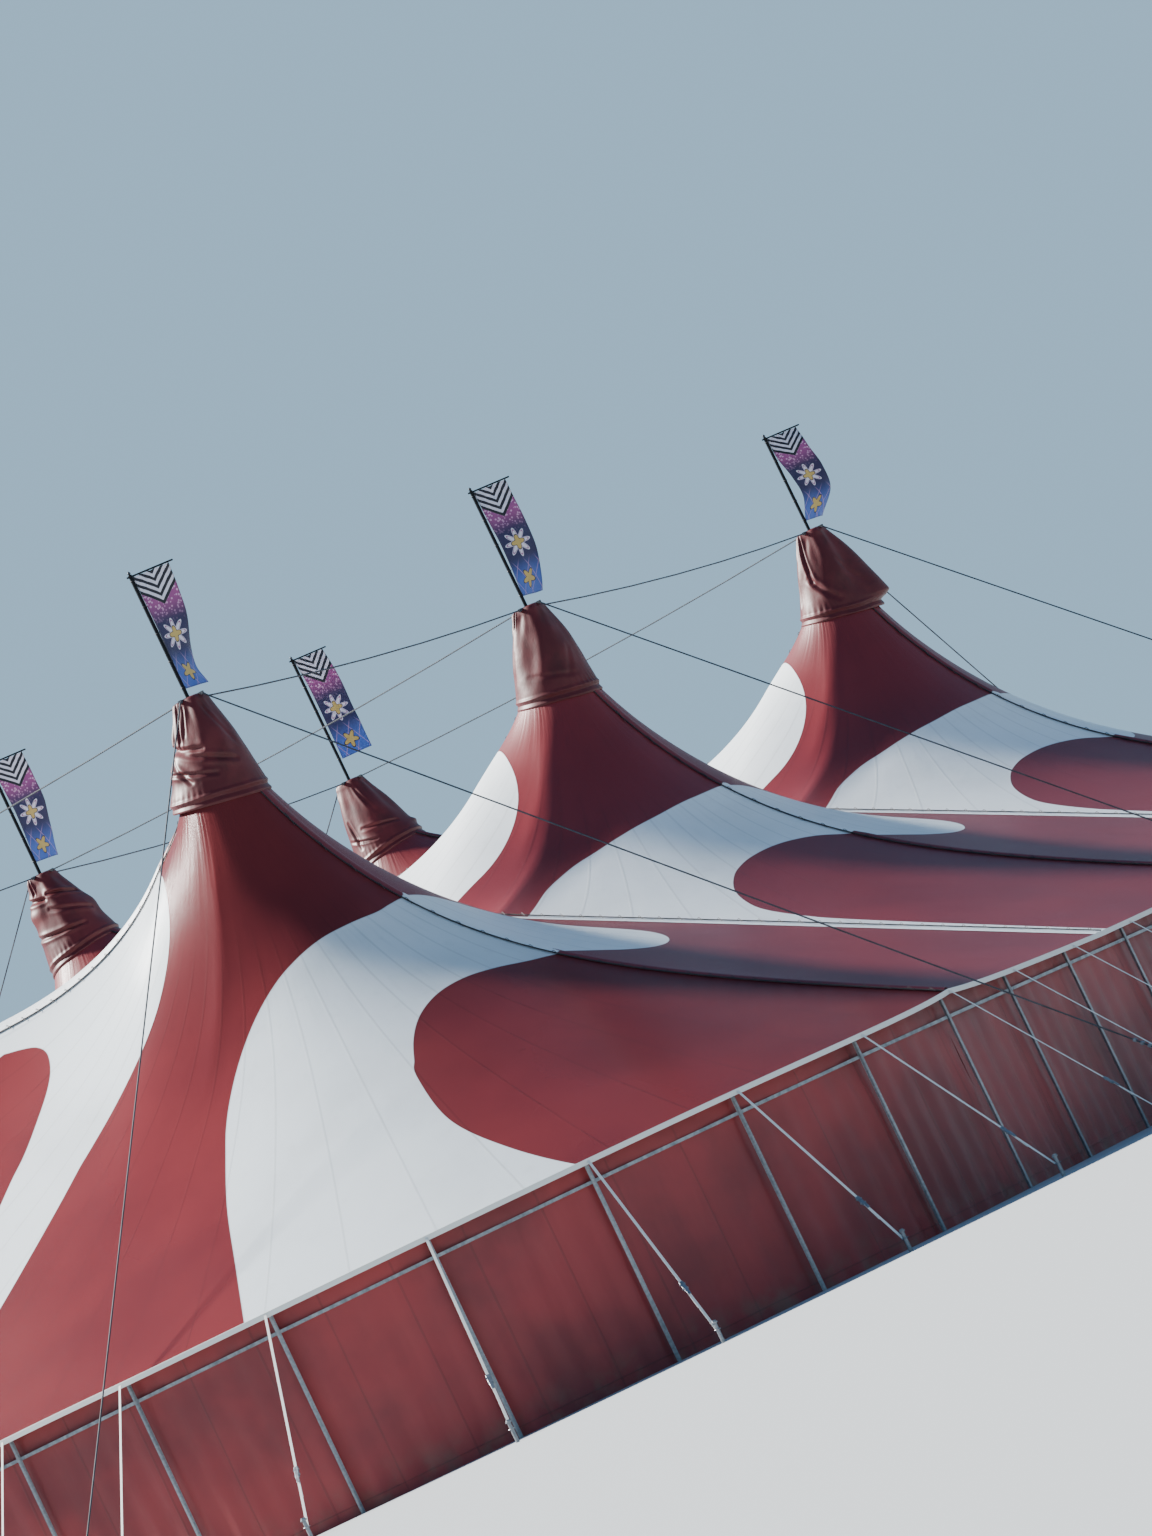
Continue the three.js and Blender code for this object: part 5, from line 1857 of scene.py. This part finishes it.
@dataclass(frozen=True)
class GuyLine:
    """The webbing belt round the eave and the straps down to the stakes, with a ratchet on each.

    Sections are held as width, depth and bevel, and the stake as heights with how wide it is there.
    """

    plan: SidePlan = SidePlan()
    form: RoofForm = RoofForm()
    belt_line: float = 12.0132
    belt: tuple = (0.02, 0.1, 0.005)
    belt_step: float = 0.3
    below_edge: float = 0.016
    cut: float = 0.005
    strap: tuple = (0.05, 0.006, 0.002)
    strap_top: float = 12.0312
    tail: tuple = (0.16, 0.5)
    tail_fall: float = 0.03
    grip_up: float = 1.15
    ratchet: tuple = (0.085, 0.03, 0.008)
    ratchet_half: float = 0.11
    pins: tuple = (-0.05, 0.06)
    pin_half: float = 0.055
    pin_r: float = 0.018
    handle: tuple = (0.06, 0.012, 0.003)
    handle_run: tuple = (0.08, 0.24)
    handle_lift: float = 0.03
    guy_reach: float = 14.9
    tie_z: float = 0.25
    eye_off: float = 0.05
    eye_r: float = 0.055
    eye_thick: float = 0.01
    stake_r: float = 0.035
    stake: tuple = ((0.0, 1.0), (0.36, 1.0), (0.365, 1.7), (0.39, 1.7), (0.395, 1.25), (0.42, 1.1))

    def round_eave(self, start: float, end: float) -> Surface:
        """Carries the belt's section round the eave at the height of the cloth's edge.

        Args:
            start: Where it starts, in metres along the belt from the middle of the front.
            end: Where it ends.

        Returns:
            That run of the belt.
        """
        _, at, _ = self.plan.walk(start, end, self.belt_line, self.belt_step)
        z = self.form.height(at[:, 0], at[:, 1], False) - self.below_edge
        return sweep(np.column_stack([at, z]), oblong(*self.belt))

    def strap_and_stake(self, post: Array) -> tuple[list[Surface], list[Surface]]:
        """Makes the strap, and its ratchet, stake and eye, of one post.

        Args:
            post: The post's place on the mast rectangle and the way out.

        Returns:
            The webbing's surfaces and the metal's.
        """
        core, out = post[:2], post[2:]
        edge = core + out * self.plan.reach
        edge_z = float(self.form.height(np.array([edge[0]]), np.array([edge[1]]), False)[0])
        head = np.array([*(core + out * self.strap_top), edge_z - self.below_edge])
        foot = np.array([*(core + out * (self.guy_reach - self.eye_off)), self.tie_z])
        web = [sweep(np.linspace(head, foot, 12), oblong(*self.strap))]
        way = (foot - head) / np.linalg.norm(foot - head)
        grip = head + way * (np.linalg.norm(foot - head) - self.grip_up)
        tail = np.linspace(*(grip + way * d for d in self.tail), 5)
        tail = tail + (0, 0, -self.tail_fall) * np.linspace(0, 1, 5)[:, None]
        web.append(sweep(tail, oblong(*self.strap)))
        half = way * self.ratchet_half
        metal = [sweep(np.linspace(grip - half, grip + half, 2), oblong(*self.ratchet))]
        half = np.array([-out[1], out[0], 0.0]) * self.pin_half
        for d in self.pins:
            metal.append(rod(grip + way * d - half, grip + way * d + half, self.pin_r, 10))
        handle = np.linspace(*(grip + way * d for d in self.handle_run), 2) + (0, 0, self.handle_lift)
        metal.append(sweep(handle, oblong(*self.handle)))
        base = np.array([*(core + out * self.guy_reach), 0.0])
        levels, wide = np.array(self.stake).T
        metal.append(sweep(base + levels[:, None] * UP, disc(self.stake_r, 12), wide))
        angle = np.linspace(0, TURN, 17)
        ring = np.column_stack([np.cos(angle) * self.eye_r, np.sin(angle) * self.eye_r, angle * 0])
        metal.append(sweep(base + (0, 0, self.tie_z) + ring, disc(self.eye_thick, 6)))
        return web, metal

    def build(self) -> None:
        """Makes the belt, straps, ratchets and stakes of each side."""
        bay, quarter = self.plan.bay, self.belt_line * math.pi / 2
        corner_end = bay + 2 * quarter + 2 * self.plan.row_y
        half = corner_end + bay
        runs = {
            Side.FRONT: (-bay, bay), Side.RIGHT: (bay + self.cut, corner_end - self.cut),
            Side.BACK: (corner_end, half + bay), Side.LEFT: (half + bay + self.cut, 2 * half - bay - self.cut),
        }
        for side, (start, end) in runs.items():
            web, metal = [self.round_eave(start, end)], []
            for post in self.plan.posts(side):
                straps, fittings = self.strap_and_stake(post)
                web += straps
                metal += fittings
            piece(f"straps_{side.value}", together(web), WEBBING, (f"guys_{side.value}",))
            piece(f"ratchets_and_stakes_{side.value}", together(metal), GALVANISED)


@dataclass(frozen=True)
class SidePoles:
    """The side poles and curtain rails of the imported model."""

    def build(self) -> None:
        """Gives them their steel."""
        GALVANISED.dress(*(f"side_poles_{side.value}" for side in Side))


# The studio


@dataclass(frozen=True)
class Studio:
    """The camera at the photograph's angle, a plain pale floor, and soft light from the left."""

    eye: Point = (-120.7, -72.2, 1.52)
    heading: float = 28.6
    pitch: float = 4.33
    roll: float = 25.68
    lens: float = 152.34
    sensor: float = 36.0
    clip: tuple = (0.5, 2000.0)
    floor_half: float = 500.0
    floor: tuple = srgb(166, 170, 172)
    low_sky: tuple = srgb(162, 199, 226)
    high_sky: tuple = srgb(86, 131, 181)
    sky_power: float = 1.03
    sky_heights: tuple = (0.2, 0.6)
    key_way: float = 93.0
    key_height: float = 37.0
    key_power: float = 18.0
    key_angle: float = 6.0
    key_colour: tuple = (1.0, 0.97, 0.92)

    def camera(self) -> None:
        """Turns the camera by heading and pitch, then rolls it so that the scene's up leans left in the picture."""
        h, p, r = (math.radians(v) for v in (self.heading, self.pitch, self.roll))
        look = Vector((math.cos(p) * math.cos(h), math.cos(p) * math.sin(h), math.sin(p)))
        right = Vector((math.sin(h), -math.cos(h), 0.0))
        up = right.cross(look)
        turned_up = math.cos(r) * up + math.sin(r) * right
        turned_right = math.cos(r) * right - math.sin(r) * up
        data = bpy.data.cameras.new("camera")
        data.lens, data.sensor_width, data.sensor_fit = self.lens, self.sensor, "AUTO"
        data.clip_start, data.clip_end = self.clip
        made = bpy.data.objects.new("camera", data)
        turn = Matrix((turned_right, turned_up, -look)).transposed()
        made.matrix_world = Matrix.Translation(Vector(self.eye) * SCALE) @ turn.to_4x4()
        bpy.context.collection.objects.link(made)
        bpy.context.scene.camera = made

    def key(self) -> None:
        """Adds a far light that comes from a way round and a height above the horizon, in degrees."""
        data = bpy.data.lights.new("key", "SUN")
        data.energy, data.angle, data.color = self.key_power, math.radians(self.key_angle), self.key_colour
        a, e = math.radians(self.key_way), math.radians(self.key_height)
        back = Vector((math.cos(a) * math.cos(e), math.sin(a) * math.cos(e), math.sin(e)))
        made = bpy.data.objects.new("key", data)
        made.rotation_euler = back.to_track_quat("Z", "Y").to_euler()
        bpy.context.collection.objects.link(made)

    def sky(self) -> None:
        """Lights the scene all round with a plain blend from the low sky to the high one."""
        world = bpy.data.worlds.new("studio")
        world.use_nodes = True
        nodes, links = world.node_tree.nodes, world.node_tree.links
        way, parts, ramp = (nodes.new(f"ShaderNode{kind}") for kind in ("TexCoord", "SeparateXYZ", "ValToRGB"))
        ramp.color_ramp.interpolation = "EASE"
        for stop, place, colour in zip(ramp.color_ramp.elements, self.sky_heights, (self.low_sky, self.high_sky)):
            stop.position, stop.color = place, colour
        links.new(way.outputs["Generated"], parts.inputs[0])
        links.new(parts.outputs["Z"], ramp.inputs[0])
        links.new(ramp.outputs[0], nodes["Background"].inputs[0])
        nodes["Background"].inputs[1].default_value = self.sky_power
        bpy.context.scene.world = world

    def ground(self) -> None:
        """Lays the plain floor."""
        side = self.floor_half
        mesh = bpy.data.meshes.new("floor")
        mesh.from_pydata([(-side, -side, 0), (side, -side, 0), (side, side, 0), (-side, side, 0)], [], [(0, 1, 2, 3)])
        floor = bpy.data.objects.new("floor", mesh)
        g = Graph("floor")
        mesh.materials.append(g.finish(Base_Color=self.floor, Roughness=0.9))
        bpy.context.collection.objects.link(floor)

    def build(self) -> None:
        """Sets the camera, the sky, the key light and the floor."""
        self.camera()
        self.sky()
        self.key()
        self.ground()


def corners(bounds: tuple[Vector, Vector]) -> list[list[float]]:
    """Turns the two corners of a box into plain lists."""
    return [list(corner) for corner in bounds]


def main() -> None:
    """Builds the studio and then the tent, from the roof down."""
    logging.basicConfig(level=logging.INFO, format="%(name)s: %(message)s")
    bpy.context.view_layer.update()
    Studio().build()
    Membrane().build()
    cap, flag = WeatherCap(), Flag()
    for mast in MASTS:
        cap.build(mast)
        flag.build(mast)
    Rigging().build()
    CurtainWall().build()
    GuyLine().build()
    SidePoles().build()


if __name__ == "__main__":
    main()
